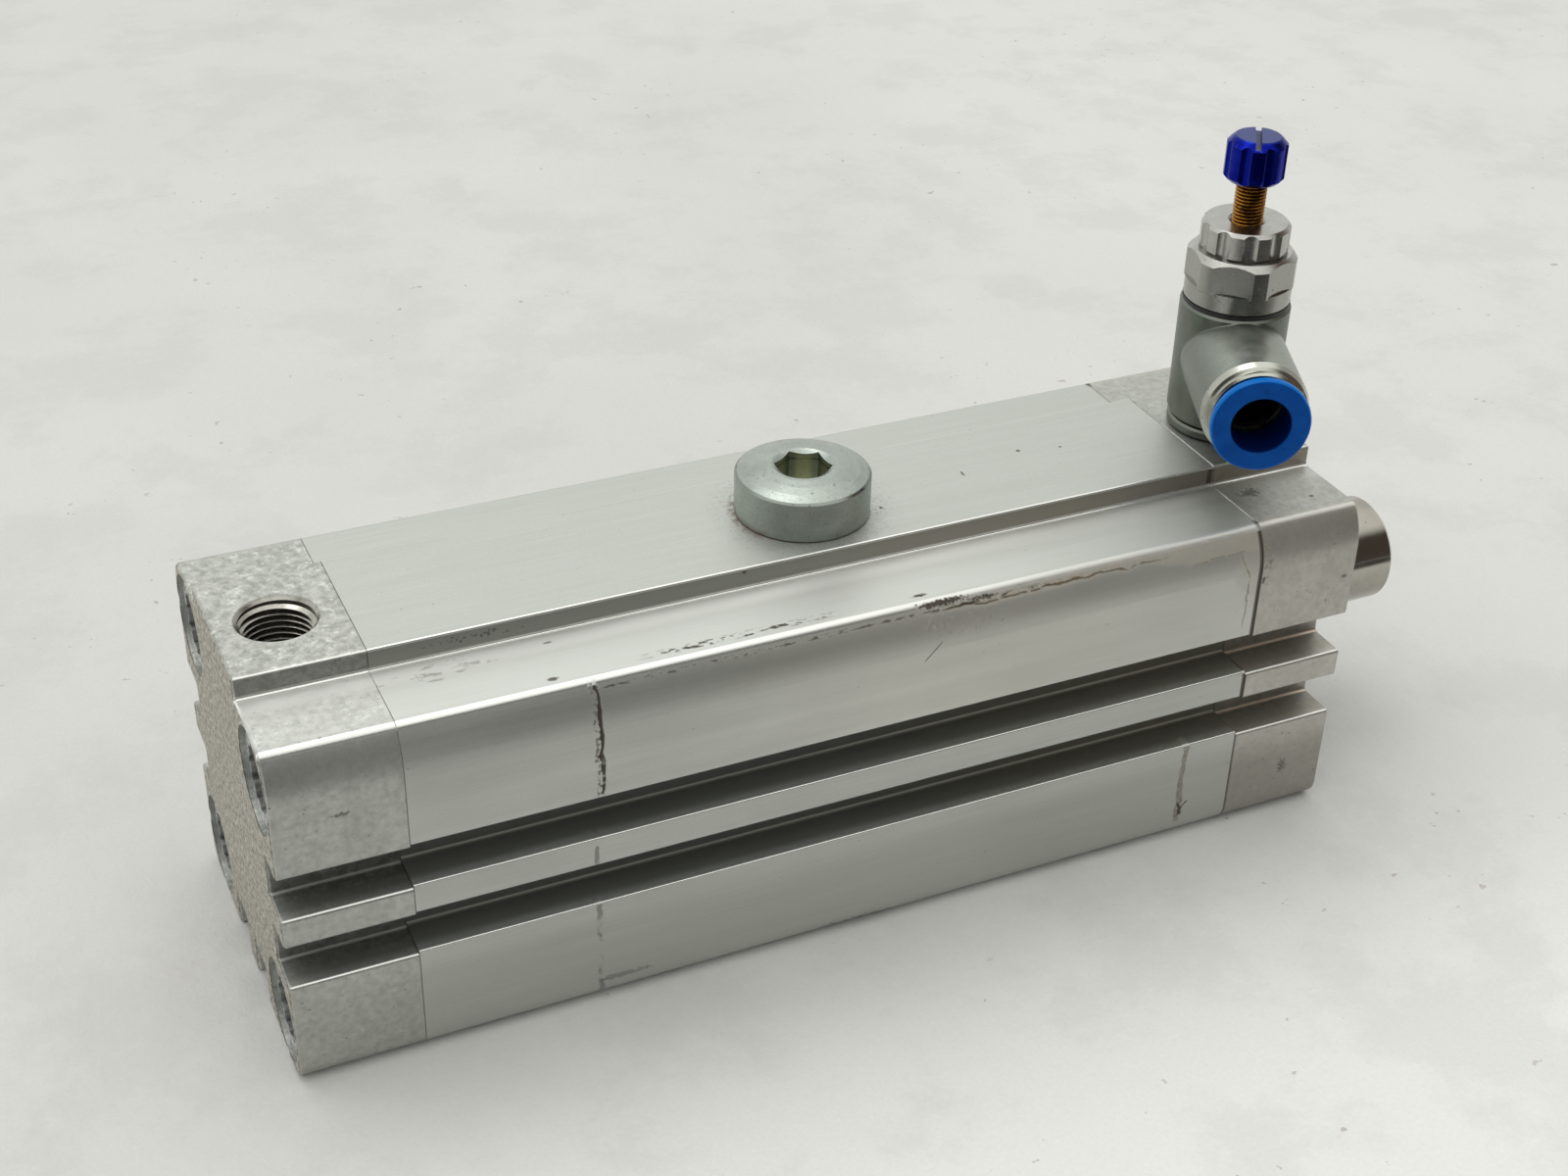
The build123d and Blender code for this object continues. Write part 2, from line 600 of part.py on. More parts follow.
# ---- flow control valve: swivelling parts ----
def swivel_body():
    top = SWIVEL_TOP
    foot = SWIVEL_BOTTOM
    tower = turned_z(
        (0, foot), (SWIVEL_R - 0.7, foot), (SWIVEL_R - 0.25, foot + 0.25), (SWIVEL_R, foot + 0.9),
        (SWIVEL_R, top - 0.4), (SWIVEL_R - 0.4, top), (0, top),
    )
    arm = turned_x(
        (0, 0), (0, OUTLET_R), (OUTLET_REACH - 1.2, OUTLET_R), (OUTLET_REACH - 0.3, OUTLET_R - 0.35),
        (OUTLET_REACH, OUTLET_R - 0.7), (OUTLET_REACH, 0),
    )
    socket = turned_x(
        (0, 0), (0, 2.6), (9.5, 2.6), (9.5, TUBE_R + 0.05), (14.0, TUBE_R + 0.05), (14.0, 5.5),
        (15.6, 5.5), (15.6, 6.3), (OUTLET_REACH + 1, 6.3), (OUTLET_REACH + 1, 0),
    )
    tower = VALVE * tower
    arm = OUTLET * arm
    body = tower + arm
    body = body.fillet(SWIVEL_CREASE_R, new_edges(tower, arm, combined=body))
    body -= VALVE * rod_z(SWIVEL_BORE_R, foot - 1, top + 1)
    body -= VALVE * rod_z(SWIVEL_CAVITY_R, foot + 3.4, top - 3.0)
    return body - OUTLET * socket


def swivel_upper_ring():
    return VALVE * ring_z(FLANGE_R + 0.05, SPINDLE_R, UPPER_RING_Z, FLANGE_Z)


def swivel_lower_o_ring():
    centre_r = (LOWER_GROOVE_R + SWIVEL_BORE_R) / 2
    section_r = (SWIVEL_BORE_R - LOWER_GROOVE_R) / 2
    return VALVE * Pos(0, 0, lower_o_ring_z()) * o_ring(centre_r - 0.015, section_r - 0.035)


def check_seal():
    """One-way lip ring on the spindle: its lip leans outwards and up."""
    foot = SWIVEL_BOTTOM + 4.2
    return VALVE * turned_z(
        (SPINDLE_R, foot), (6.2, foot), (6.35, foot + 0.8), (6.75, foot + 2.4), (6.45, foot + 2.4),
        (6.1, foot + 1.4), (SPINDLE_R, foot + 1.4),
    )


def tube_cartridge():
    start = OUTLET_REACH - 2.9
    return OUTLET * turned_x(
        (start, 5.35), (start, 6.25), (OUTLET_REACH, 6.25), (OUTLET_REACH, RIM_R),
        (OUTLET_REACH + RIM_WIDTH - 0.3, RIM_R), (OUTLET_REACH + RIM_WIDTH, RIM_R - 0.3),
        (OUTLET_REACH + RIM_WIDTH, 5.35),
    )


def tube_collet():
    """Clamp ring with six inward teeth that bite the tube."""
    ring = turned_x((15.9, 5.3), (15.9, 6.2), (17.3, 6.2), (17.3, 5.3))
    ring += turned_x((16.1, 5.5), (16.4, 5.5), (15.9, 4.15), (15.6, 4.15))
    for i in range(6):
        slot = Rot(60 * i, 0, 0) * Pos(16.0, 4.3, 0) * Box(1.2, 1.6, 0.8)
        ring -= slot
    return OUTLET * ring


def tube_seal():
    return OUTLET * around_x(o_ring(4.8, 0.66), 14.8)


def release_ring():
    face = OUTLET_REACH + RIM_WIDTH + RELEASE_TRAVEL + 0.05
    end = face + RELEASE_WIDTH
    return OUTLET * turned_x(
        (17.6, TUBE_R), (17.6, 4.6), (18.2, 5.2), (face, 5.2), (face, RELEASE_R - 0.3),
        (face + 0.3, RELEASE_R), (end - 0.45, RELEASE_R), (end - 0.12, RELEASE_R - 0.15),
        (end, RELEASE_R - 0.5), (end, TUBE_R + 0.12), (end - 0.12, TUBE_R),
    )


# ---- flow control valve: adjusting parts ----
def flow_needle():
    foot = SWIVEL_BOTTOM + 5.8
    return VALVE * turned_z(
        (0, foot), (0.4, foot), (1.5, foot + 3.4), (1.5, foot + 4.05), (1.9, foot + 4.15),
        (1.9, foot + 8.3), (1.2, foot + 8.3), (1.2, foot + 12.0), (0, foot + 12.0),
    )


def adjusting_stem():
    foot = SWIVEL_BOTTOM + 14.15
    top = KNOB_Z + STEM_IN_KNOB
    body = turned_z(
        (0, foot), (STEM_R - 0.3, foot), (STEM_R, foot + 0.3), (STEM_R, KNOB_Z),
        (STEM_TIP_R, KNOB_Z), (STEM_TIP_R, top), (0, top),
    )
    return VALVE * (body - rod_z(STEM_SOCKET_R, foot - 1, foot + STEM_SOCKET_DEPTH))


def adjusting_knob():
    """Fluted knob with a screwdriver slot and a bevelled crown."""
    top = KNOB_Z + KNOB_HEIGHT
    body = turned_z(
        (0, KNOB_Z), (KNOB_R - 0.6, KNOB_Z), (KNOB_R, KNOB_Z + 0.6), (KNOB_R, top - 1.0),
        (KNOB_R - 0.85, top - 0.15), (KNOB_R - 1.1, top), (0, top),
    )
    for cut in scallops(KNOB_FLUTES, KNOB_R + 0.75, 1.15, KNOB_Z - 1, top + 1, KNOB_TURN):
        body -= cut
    body -= Rot(0, 0, KNOB_SLOT_TURN) * Pos(0, 0, top) * Box(3 * KNOB_R, KNOB_SLOT_WIDTH, 1.6)
    return VALVE * (body - rod_z(STEM_TIP_R, KNOB_Z - 1, KNOB_Z + STEM_IN_KNOB))


def lock_nut():
    top = NUT_Z + LOCK_NUT_HEIGHT
    bore_r = STEM_R + STEM_CLEARANCE
    body = turned_z(
        (bore_r, NUT_Z), (LOCK_NUT_R - 0.3, NUT_Z), (LOCK_NUT_R, NUT_Z + 0.3),
        (LOCK_NUT_R, top - 0.5), (LOCK_NUT_R - 0.5, top), (bore_r + 0.4, top), (bore_r, top - 0.4),
    )
    for cut in scallops(LOCK_NUT_FLUTES, LOCK_NUT_R + 1.35, 1.75, NUT_Z - 1, top + 1, LOCK_NUT_TURN):
        body -= cut
    return VALVE * body


PARTS = {
    "barrel": barrel(),
    "rear_cap": rear_cap(),
    "front_cap": front_cap(),
    "rear_cap_screws": cap_screws(True),
    "front_cap_screws": cap_screws(False),
    "rear_cap_o_ring": cap_o_ring(True),
    "front_cap_o_ring": cap_o_ring(False),
    "rear_buffer": buffer_ring(7.0, True),
    "front_buffer": buffer_ring(8.6, False),
    "rod_bearing": rod_bearing(),
    "rod_seal": rod_seal(),
    "port_plug": port_plug(),
    "plug_seal": plug_seal(),
    "hollow_bolt": hollow_bolt(),
    "bolt_seal_ring": bolt_seal_ring(),
    "stem_o_ring": stem_o_ring(),
    "swivel_body": swivel_body(),
    "swivel_upper_ring": swivel_upper_ring(),
    "swivel_lower_o_ring": swivel_lower_o_ring(),
    "check_seal": check_seal(),
    "tube_cartridge": tube_cartridge(),
    "tube_collet": tube_collet(),
    "tube_seal": tube_seal(),
    "release_ring": release_ring(),
    "flow_needle": flow_needle(),
    "adjusting_stem": adjusting_stem(),
    "adjusting_knob": adjusting_knob(),
    "lock_nut": lock_nut(),
    "piston_rear": piston_rear(),
    "piston_front": piston_front(),
    "magnet_ring": magnet_ring(),
    "piston_seal_rear": piston_seal(True),
    "piston_seal_front": piston_seal(False),
    "piston_guide_ring": piston_guide_ring(),
    "piston_rod": piston_rod(),
    "piston_screw": piston_screw(),
    "rod_o_ring": rod_o_ring(),
}

os.makedirs("parts", exist_ok=True)
for node, shape in PARTS.items():
    export_step(shape, f"parts/{node}.step")
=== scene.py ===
import json
import math

import bpy
from mathutils import Euler, Matrix, Vector


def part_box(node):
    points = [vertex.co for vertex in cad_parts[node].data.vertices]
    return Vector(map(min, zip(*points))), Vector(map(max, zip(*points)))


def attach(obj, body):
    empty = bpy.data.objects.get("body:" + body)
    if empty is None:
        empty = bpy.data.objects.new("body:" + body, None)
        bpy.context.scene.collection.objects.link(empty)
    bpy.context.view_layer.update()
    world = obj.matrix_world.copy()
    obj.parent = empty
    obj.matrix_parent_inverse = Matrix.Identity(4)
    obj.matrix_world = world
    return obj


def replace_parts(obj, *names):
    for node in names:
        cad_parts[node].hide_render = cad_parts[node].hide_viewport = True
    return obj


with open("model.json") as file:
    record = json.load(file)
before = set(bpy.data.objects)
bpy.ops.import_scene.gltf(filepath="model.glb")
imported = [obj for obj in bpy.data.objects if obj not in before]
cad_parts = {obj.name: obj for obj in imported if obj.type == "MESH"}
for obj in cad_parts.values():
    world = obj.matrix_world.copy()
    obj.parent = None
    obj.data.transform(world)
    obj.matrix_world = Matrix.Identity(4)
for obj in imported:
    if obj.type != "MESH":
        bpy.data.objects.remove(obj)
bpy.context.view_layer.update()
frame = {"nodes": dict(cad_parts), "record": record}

# Metres, in the frame of the CAD model: +X runs towards the rod, +Z points to the side with the ports.
MM = 0.001
NODES = frame["nodes"]

# ---- places read from the frame ----
BARREL_LOW, BARREL_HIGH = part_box("barrel")
PLUG_LOW, PLUG_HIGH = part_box("port_plug")
BOLT_LOW, BOLT_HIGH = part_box("hollow_bolt")
STEM_LOW, STEM_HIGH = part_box("adjusting_stem")
KNOB_LOW, KNOB_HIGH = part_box("adjusting_knob")
REAR_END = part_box("rear_cap")[0].x
FRONT_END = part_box("front_cap")[1].x
ROD_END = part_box("piston_rod")[1].x
MOUNTS = {mount["name"]: mount for mount in frame["record"]["mounts"]}

NEAR_Y = BARREL_LOW.y
FLOOR_Z = BARREL_LOW.z
TOP_Z = BARREL_HIGH.z
REAR_SEAM = BARREL_LOW.x
FRONT_SEAM = BARREL_HIGH.x
PLUG_X = (PLUG_LOW.x + PLUG_HIGH.x) / 2
VALVE_X = (BOLT_LOW.x + BOLT_HIGH.x) / 2
PORT_X = MOUNTS["rear_port"]["pos_m"][0]
SCREW_PLACE = MOUNTS["rear_screw_threads"]["dims"]["spacing_x_mm"] / 2 * MM
TUBE_AT = Vector(MOUNTS["tube_socket"]["pos_m"])
TUBE_ALONG = Vector(MOUNTS["tube_socket"]["axis"])


# ---- helpers for materials ----
class Surface:
    """A procedural material under construction, with one short call for each kind of node."""

    def __init__(self, name):
        self.material = bpy.data.materials.new(name)
        self.material.use_nodes = True
        self.tree = self.material.node_tree
        self.shader = self.tree.nodes["Principled BSDF"]
        self.place = self.node("ShaderNodeTexCoord").outputs["Object"]
        split = self.node("ShaderNodeSeparateXYZ", {"Vector": self.place})
        self.x, self.y, self.z = split.outputs

    def node(self, kind, inputs=None, **settings):
        made = self.tree.nodes.new(kind)
        for key, value in settings.items():
            setattr(made, key, value)
        for key, value in (inputs or {}).items():
            self.put(made.inputs[key], value)
        return made

    def put(self, socket, value):
        if isinstance(value, bpy.types.NodeSocket):
            self.tree.links.new(value, socket)
        else:
            socket.default_value = value

    def math(self, operation, first, second=0.0):
        made = self.node("ShaderNodeMath", {0: first, 1: second}, operation=operation)
        return made.outputs[0]

    def times(self, first, second):
        return self.math("MULTIPLY", first, second)

    def plus(self, first, second):
        return self.math("ADD", first, second)

    def minus(self, first, second):
        return self.math("SUBTRACT", first, second)

    def other(self, mask):
        """The mask turned round: 1 where it was 0."""
        return self.minus(1.0, mask)

    def unsigned(self, value):
        return self.math("ABSOLUTE", value)

    def fade(self, value, start, end):
        """0 before start and 1 after end, or the other way round when end is the smaller."""
        low, high = min(start, end), max(start, end)
        levels = (0.0, 1.0) if end > start else (1.0, 0.0)
        inputs = {"Value": value, "From Min": low, "From Max": high}
        inputs.update({"To Min": levels[0], "To Max": levels[1]})
        return self.node("ShaderNodeMapRange", inputs, interpolation_type="SMOOTHSTEP").outputs[0]

    def fade_mm(self, value, start, end):
        return self.fade(value, start * MM, end * MM)

    def fade_from(self, value, base, start, end):
        """Like fade_mm, with both places measured from a base in metres."""
        return self.fade(value, base + start * MM, base + end * MM)

    def spread(self, value, low, high):
        """Noise round 0.5 stretched to run from low to high."""
        inputs = {"Value": value, "From Min": 0.3, "From Max": 0.7, "To Min": low, "To Max": high}
        return self.node("ShaderNodeMapRange", inputs).outputs[0]

    def vector(self, operation, first, second=(0.0, 0.0, 0.0)):
        made = self.node("ShaderNodeVectorMath", {0: first, 1: second}, operation=operation)
        return made.outputs["Value" if operation in ("DOT_PRODUCT", "LENGTH") else "Vector"]

    def noise(self, per_mm, detail=3.0, stretch=(1, 1, 1), rough=0.55, shift=0.0):
        """Noise with about per_mm features to the millimetre; a small stretch draws them out."""
        scale = [per_mm * factor / MM for factor in stretch]
        vector = self.vector("ADD", self.vector("MULTIPLY", self.place, scale), (shift,) * 3)
        inputs = {"Vector": vector, "Scale": 1.0, "Detail": detail, "Roughness": rough}
        return self.node("ShaderNodeTexNoise", inputs).outputs["Fac"]

    def mix(self, amount, first, second):
        first = first if isinstance(first, bpy.types.NodeSocket) else (*first, 1.0)
        second = second if isinstance(second, bpy.types.NodeSocket) else (*second, 1.0)
        inputs = {"Fac": amount, "Color1": first, "Color2": second}
        return self.node("ShaderNodeMixRGB", inputs).outputs[0]

    def blend(self, amount, first, second):
        """Number between first and second."""
        return self.plus(self.times(self.minus(second, first), amount), first)

    def both(self, *masks):
        joined = masks[0]
        for mask in masks[1:]:
            joined = self.times(joined, mask)
        return joined

    def either(self, *masks):
        joined = masks[0]
        for mask in masks[1:]:
            joined = self.math("MAXIMUM", joined, mask)
        return joined

    def band(self, value, centre, half, soft):
        """1 within half of the centre, falling to 0 over soft."""
        away = self.unsigned(self.minus(value, centre))
        return self.fade(away, half + soft, half)

    def band_mm(self, value, centre, half, soft):
        return self.band(value, centre * MM, half * MM, soft * MM)

    def over(self, colour, mask, strength, tint):
        """A tint laid over a colour where the mask is 1, with at most the given strength."""
        return self.mix(self.times(mask, strength), colour, tint)

    def off_axis(self, centre_x):
        """Distance from the upright axis through (centre_x, 0)."""
        return self.length(self.minus(self.x, centre_x), self.y)

    def length(self, first, second):
        """Length of a flat vector from its two components."""
        return self.math("SQRT", self.plus(self.times(first, first), self.times(second, second)))

    def mark(self, centre, radii, ragged=0.5, per_mm=1.2):
        """Soft ellipsoid round a place in millimetres, with an edge broken up by noise."""
        centre = [value * MM for value in centre]
        scale = [1 / (radius * MM) for radius in radii]
        offset = self.vector("MULTIPLY", self.vector("SUBTRACT", self.place, centre), scale)
        broken = self.times(self.minus(self.noise(per_mm, 5.0), 0.5), 4 * ragged)
        return self.fade(self.plus(self.vector("LENGTH", offset), broken), 1.0, 0.45)

    def facing(self, axis, start, end):
        """Share of the surface's own direction along one axis, faded between two values."""
        normal = self.node("ShaderNodeNewGeometry").outputs["Normal"]
        split = self.node("ShaderNodeSeparateXYZ", {"Vector": normal})
        return self.fade(split.outputs[axis], start, end)

    def bump(self, height, depth, strength=1.0, under=None):
        """Relief of a given depth in millimetres."""
        inputs = {"Height": height, "Distance": depth * MM, "Strength": strength}
        if under is not None:
            inputs["Normal"] = under
        return self.node("ShaderNodeBump", inputs).outputs["Normal"]

    def finish(self, colour, roughness, metallic=1.0, normal=None, **fixed):
        self.put(self.shader.inputs["Base Color"], colour)
        self.put(self.shader.inputs["Roughness"], roughness)
        self.put(self.shader.inputs["Metallic"], metallic)
        if normal is not None:
            self.put(self.shader.inputs["Normal"], normal)
        for key, value in fixed.items():
            self.shader.inputs[key.replace("_", " ")].default_value = value
        return self.material


GRIME = (0.035, 0.022, 0.012)
RUST = (0.16, 0.065, 0.03)
STAIN = (0.33, 0.25, 0.17)
DRIED_OIL = (0.15, 0.105, 0.06)
BROWN_DIRT = (0.035, 0.021, 0.007)
SOCKET_DIRT = (0.10, 0.065, 0.035)
# Colour of the painted highlight along the burnished edges.
EDGE_HIGHLIGHT = (0.93, 0.93, 0.90)
# Colour of the painted highlight on the lower flat of the near side.
WELL_LIT = (0.97, 0.98, 0.95)
BURNISHED_ROUGHNESS = 0.26


def grimy(surface, colour, roughness, metallic, layers):
    """Paints layers of (mask, dirt colour, strength) over a metal, which also dull it."""
    for mask, dirt, strength in layers:
        amount = surface.times(mask, strength)
        colour = surface.mix(amount, colour, dirt)
        roughness = surface.blend(amount, roughness, 0.8)
        metallic = surface.blend(amount, metallic, 0.0)
    return colour, roughness, metallic


# ---- materials of the housing ----
# Colours of the painted shade in the grooves, warmer towards the front.
GROOVE_SHADE = (0.075, 0.08, 0.07)
GROOVE_SHADE_RIGHT = (0.125, 0.09, 0.045)
CAP_GROOVE_SHADE_RIGHT = (0.20, 0.14, 0.09)
TIDE_DIRT = (0.10, 0.062, 0.025)
GROOVE_LIPS = (2.15, -8.35)  # heights in mm of the lips that catch the light
CAP_GROOVE_DROP = 0.5        # how much lower the lips of the caps are, in mm
RIDGE_HALF = 11.15           # half the width in mm of the raised flat


def groove_shade(s):
    """Painted shade that darkens the sensor grooves away from their mouths."""
    side = s.unsigned(s.y)
    height = s.unsigned(s.z)
    return s.both(s.fade(side, -NEAR_Y - 0.5 * MM, -NEAR_Y - 2.2 * MM), s.fade_mm(height, 9.5, 9.0))


def near_half(s):
    return s.fade_mm(s.y, 1, -1)


def near_face(s):
    return s.fade_from(s.y, NEAR_Y, 2.6, 1.6)


def ridge_wall(s, foot, head):
    """The upright walls of the raised flat, between a foot and a head in millimetres."""
    side = s.unsigned(s.y)
    outer = s.fade_mm(side, RIDGE_HALF + 0.10, RIDGE_HALF + 0.03)
    inner = s.fade_mm(side, RIDGE_HALF - 0.10, RIDGE_HALF - 0.03)
    return s.both(outer, inner, s.fade_mm(s.z, *foot), s.fade_mm(s.z, *head))


def lit_strip(s):
    """Painted highlight on the lower flat of the near side, brightest along the foot of the ridge's
    wall.
    """
    side = s.unsigned(s.y)
    flat = s.both(s.fade_mm(s.z, 25.6, 25.3), s.fade_mm(s.z, 24.6, 24.8), near_half(s))
    whole = s.band_mm(side, 16.5, 5.2, 1.0)
    whole = s.times(whole, s.blend(s.fade_mm(s.x, 85, 125), 0.30, 0.0))
    foot = s.fade_mm(side, 17.5, 12.0)
    foot = s.times(foot, s.blend(s.fade_mm(s.x, 95, 130), 1.0, 0.30))
    return s.both(flat, s.either(whole, foot))


def burnished_highlit_edges(s, drop):
    """Edges along X that handling has burnished, smoother and with a painted highlight in their
    colour: groove lips, the rim, the ridge's edges.
    """
    side = s.unsigned(s.y)
    outside = s.fade(side, -NEAR_Y - 0.45 * MM, -NEAR_Y - 0.30 * MM)
    lips = [s.band_mm(s.z, lip - drop, 0.14, 0.10) for lip in GROOVE_LIPS]
    rim = s.both(s.band_mm(side, 22.85, 0.34, 0.20), s.fade_mm(s.z, 24.1, 24.35))
    rim = s.times(rim, s.blend(s.fade_mm(s.x, 60, 120), 1.0, 0.45))
    crest = s.fade_from(s.z, TOP_Z, -0.35, -0.2)
    crest = s.both(crest, s.band_mm(side, RIDGE_HALF, 0.22, 0.12))
    foot = s.both(s.band_mm(side, 11.3, 0.22, 0.10), s.fade_mm(s.z, 25.4, 25.2))
    foot = s.both(foot, s.fade_mm(s.z, 24.5, 24.8))
    upper = s.times(s.either(rim, crest, foot), s.blend(near_half(s), 0.2, 1.0))
    return s.either(s.both(outside, s.either(*lips)), upper)


def groove_corner(s, drop):
    """Painted highlight along the inner corner of each groove, where the light gathers."""
    side = s.unsigned(s.y)
    deep = s.both(s.fade_mm(side, 19.9, 19.6), s.fade_mm(side, 19.0, 19.2))
    lines = [s.band_mm(s.z, lip - drop + 0.1, 0.06, 0.10) for lip in GROOVE_LIPS]
    return s.both(deep, s.either(*lines))


def rusty_side(s, start, end):
    """The side of the plug that has rusted, faded between two places in millimetres from its axis."""
    lean = 0.1
    return s.fade_mm(s.minus(s.minus(s.x, PLUG_X), s.times(s.y, lean)), start, end)


# ---- marks on the barrel, each as layers for grimy() ----
def oil_line(s, near, line_x):
    """A crack-like line of dried oil round the near side, fainter below the grooves."""
    upper = s.both(near, s.fade_mm(s.z, 8.0, 9.0))
    patchy = s.fade(s.noise(0.6, 5.0), 0.36, 0.50)
    line = s.both(s.band_mm(line_x, 41.0, 0.17, 0.12), upper)
    line = s.both(line, s.either(patchy, s.fade_mm(s.z, 11, 15)))
    blots = s.both(s.band_mm(line_x, 40.75, 0.42, 0.3), upper)
    blots = s.both(blots, s.fade(s.noise(1.4, 4.0), 0.48, 0.58))
    faint = s.both(s.band_mm(line_x, 40.1, 0.18, 0.25), s.fade_mm(s.z, 2.5, 2.0), near)
    faint = s.both(faint, s.fade(s.noise(0.5, 5.0), 0.42, 0.56))
    return [(faint, GRIME, 0.50), (blots, GRIME, 0.70), (line, GRIME, 0.95)]


def drip(s, near, line_x):
    """A brown run near the front seam, which ends in a small fork."""
    run = s.both(near, s.fade_mm(s.z, -7.5, -8.6), s.fade_mm(s.z, -22.5, -21.5))
    run = s.both(run, s.band_mm(line_x, 128.7, 0.34, 0.25), s.spread(s.noise(1.6, 5.0), 0.35, 1.1))
    across = s.unsigned(s.minus(line_x, 129.2 * MM))
    up = s.plus(s.z, 19.8 * MM)
    arms = s.band_mm(s.minus(across, s.times(up, 0.7)), 0.0, 0.14, 0.12)
    arms = s.both(arms, s.band_mm(up, 0.3, 0.7, 0.2), s.fade_mm(across, 1.2, 0.9), near)
    stem = s.both(s.band_mm(across, 0.0, 0.25, 0.15), s.band_mm(up, -0.5, 0.5, 0.2), near)
    return [(run, DRIED_OIL, 0.75), (s.either(arms, stem), GRIME, 0.90)]


def oil_film(s, near, line_x):
    """A brownish film under the upper near edge, down to a ragged tide line."""
    level = s.plus(s.z, s.times(s.minus(s.noise(0.13, 4.0), 0.5), 2.6 * MM))
    tide = s.both(s.fade_mm(s.x, 84, 90), s.fade_mm(s.x, 124, 118))
    tide = s.both(tide, s.band_mm(level, 23.55, 0.06, 0.14))
    end_tide = s.both(s.fade_mm(s.x, 124, 127), s.fade_mm(s.x, 134.6, 134))
    end_tide = s.both(end_tide, s.band_mm(level, 22.0, 0.07, 0.14))
    fall_x = s.plus(line_x, s.times(s.fade_mm(s.z, 18, 22), 1.4 * MM))
    fall = s.both(s.fade_mm(s.z, 9, 12), s.fade_mm(s.z, 22.4, 21.8))
    fall = s.both(fall, s.band_mm(fall_x, 135.2, 0.06, 0.14))
    broken = s.fade(s.noise(0.9, 5.0), 0.34, 0.48)
    tide = s.both(s.either(tide, s.times(s.either(end_tide, fall), 0.6)), broken, near)
    foot = s.blend(s.fade_mm(s.x, 118, 128), 23.2 * MM, 22.0 * MM)
    film = s.both(s.fade_mm(s.minus(level, foot), -0.3, 0.3), s.fade_mm(s.x, 82, 96), near)
    film = s.both(film, s.spread(s.noise(0.9, 5.0), 0.3, 1.1))
    smears = s.both(s.mark((90, -24.6, 21.9), (7.0, 1.5, 1.5), 0.9, 0.8), near)
    smears = s.both(smears, s.fade(s.noise(1.3, 6.0, shift=4.0), 0.48, 0.62))
    corner = s.both(s.mark((137, -25, 21.5), (5.0, 3.0, 9.0), 0.25, 0.5), near)
    return [
        (film, STAIN, 0.46), (corner, STAIN, 0.20), (smears, TIDE_DIRT, 0.40), (tide, TIDE_DIRT, 0.90),
    ]


def rim_dirt(s):
    """Flecks of dirt along the upper near edge, and the blots that stick to it."""
    behind = s.both(s.band_mm(s.y, -21.0, 0.35, 0.45), s.fade_mm(s.z, 24.6, 24.8))
    behind = s.both(behind, s.fade_mm(s.x, 46, 54), s.fade_mm(s.x, 76, 70))
    below = s.both(s.band_mm(s.y, -23.75, 0.22, 0.25), s.fade_mm(s.z, 23.4, 23.8))
    below = s.both(below, s.fade_mm(s.x, 40, 42), s.fade_mm(s.x, 112, 98))
    flecks = s.fade(s.noise(2.3, 6.0, (0.35, 1, 1)), 0.50, 0.57)
    blots = s.either(
        s.mark((88.2, -23.15, 24.5), (5.0, 0.60, 0.6), 0.45, 2.6),
        s.mark((85.9, -21.3, 25), (1.3, 0.40, 0.5), 0.6, 2.8),
        s.mark((94.0, -23.5, 24.2), (3.0, 0.35, 0.5), 0.5, 2.6),
        s.mark((101.5, -23.7, 24.0), (1.5, 0.30, 0.4), 0.5, 2.6),
    )
    return s.both(s.either(behind, below), flecks), blots


def nicks_and_smudges(s, near, top):
    """Small nicks, a scratch, pinholes and rubbed smudges."""
    rubbed = s.mark((24, -14.5, 25), (9.5, 1.9, 1.0), 0.9, 0.7)
    rubbed = s.both(rubbed, s.fade(s.noise(1.1, 6.0, (0.35, 1, 1)), 0.50, 0.60), top)
    slant = s.minus(s.minus(s.z, 18.45 * MM), s.minus(s.x, 86.55 * MM))
    scratch = s.both(s.band_mm(slant, 0.0, 0.07, 0.12), s.band_mm(s.x, 86.55, 1.0, 0.4), near)
    nicks = s.either(
        s.mark((36.3, -21.2, 25), (0.9, 0.5, 1), 0.2, 3),
        s.mark((38.3, -13.5, 25), (0.8, 0.25, 1), 0.3, 3),
        s.mark((65.8, -11.2, 27.6), (0.4, 0.4, 0.6), 0.3, 3),
        s.mark((113.9, 3.1, 28), (0.42, 0.42, 1), 0.3, 3),
        s.mark((120.0, 1.9, 28), (0.3, 0.3, 1), 0.3, 3),
        s.mark((103.5, 0.3, 28), (0.22, 0.8, 1), 0.3, 3),
        s.mark((88.9, -3.9, 28), (0.35, 0.35, 1), 0.3, 3),
        scratch,
    )
    on_wall = s.mark((29.5, -11.2, 26.6), (5.5, 0.6, 0.55), 1.0, 1.6)
    on_wall = s.both(on_wall, s.fade(s.noise(2.0, 4.0), 0.5, 0.6))
    pinholes = s.fade(s.noise(1.7, 1.0, shift=11.0), 0.800, 0.825)
    return [
        (rubbed, GRIME, 0.45), (nicks, GRIME, 0.80), (on_wall, GRIME, 0.70), (pinholes, GRIME, 0.65),
    ]


def plug_ring(s):
    """The ring of rust and dust that the plug leaves on the ridge."""
    away = s.off_axis(PLUG_X)
    on_ridge = s.fade_from(s.z, TOP_Z, -0.2, -0.1)
    rust = s.both(s.fade_mm(away, 10.4, 9.1), rusty_side(s, -4.5, -8.5), on_ridge)
    rust = s.both(rust, s.fade(s.noise(1.0, 5.0), 0.38, 0.56))
    dust = s.both(s.fade_mm(away, 14.5, 9.2), on_ridge, s.fade(s.noise(2.2, 5.0), 0.52, 0.68))
    return [(dust, GRIME, 0.30), (rust, RUST, 0.70)]


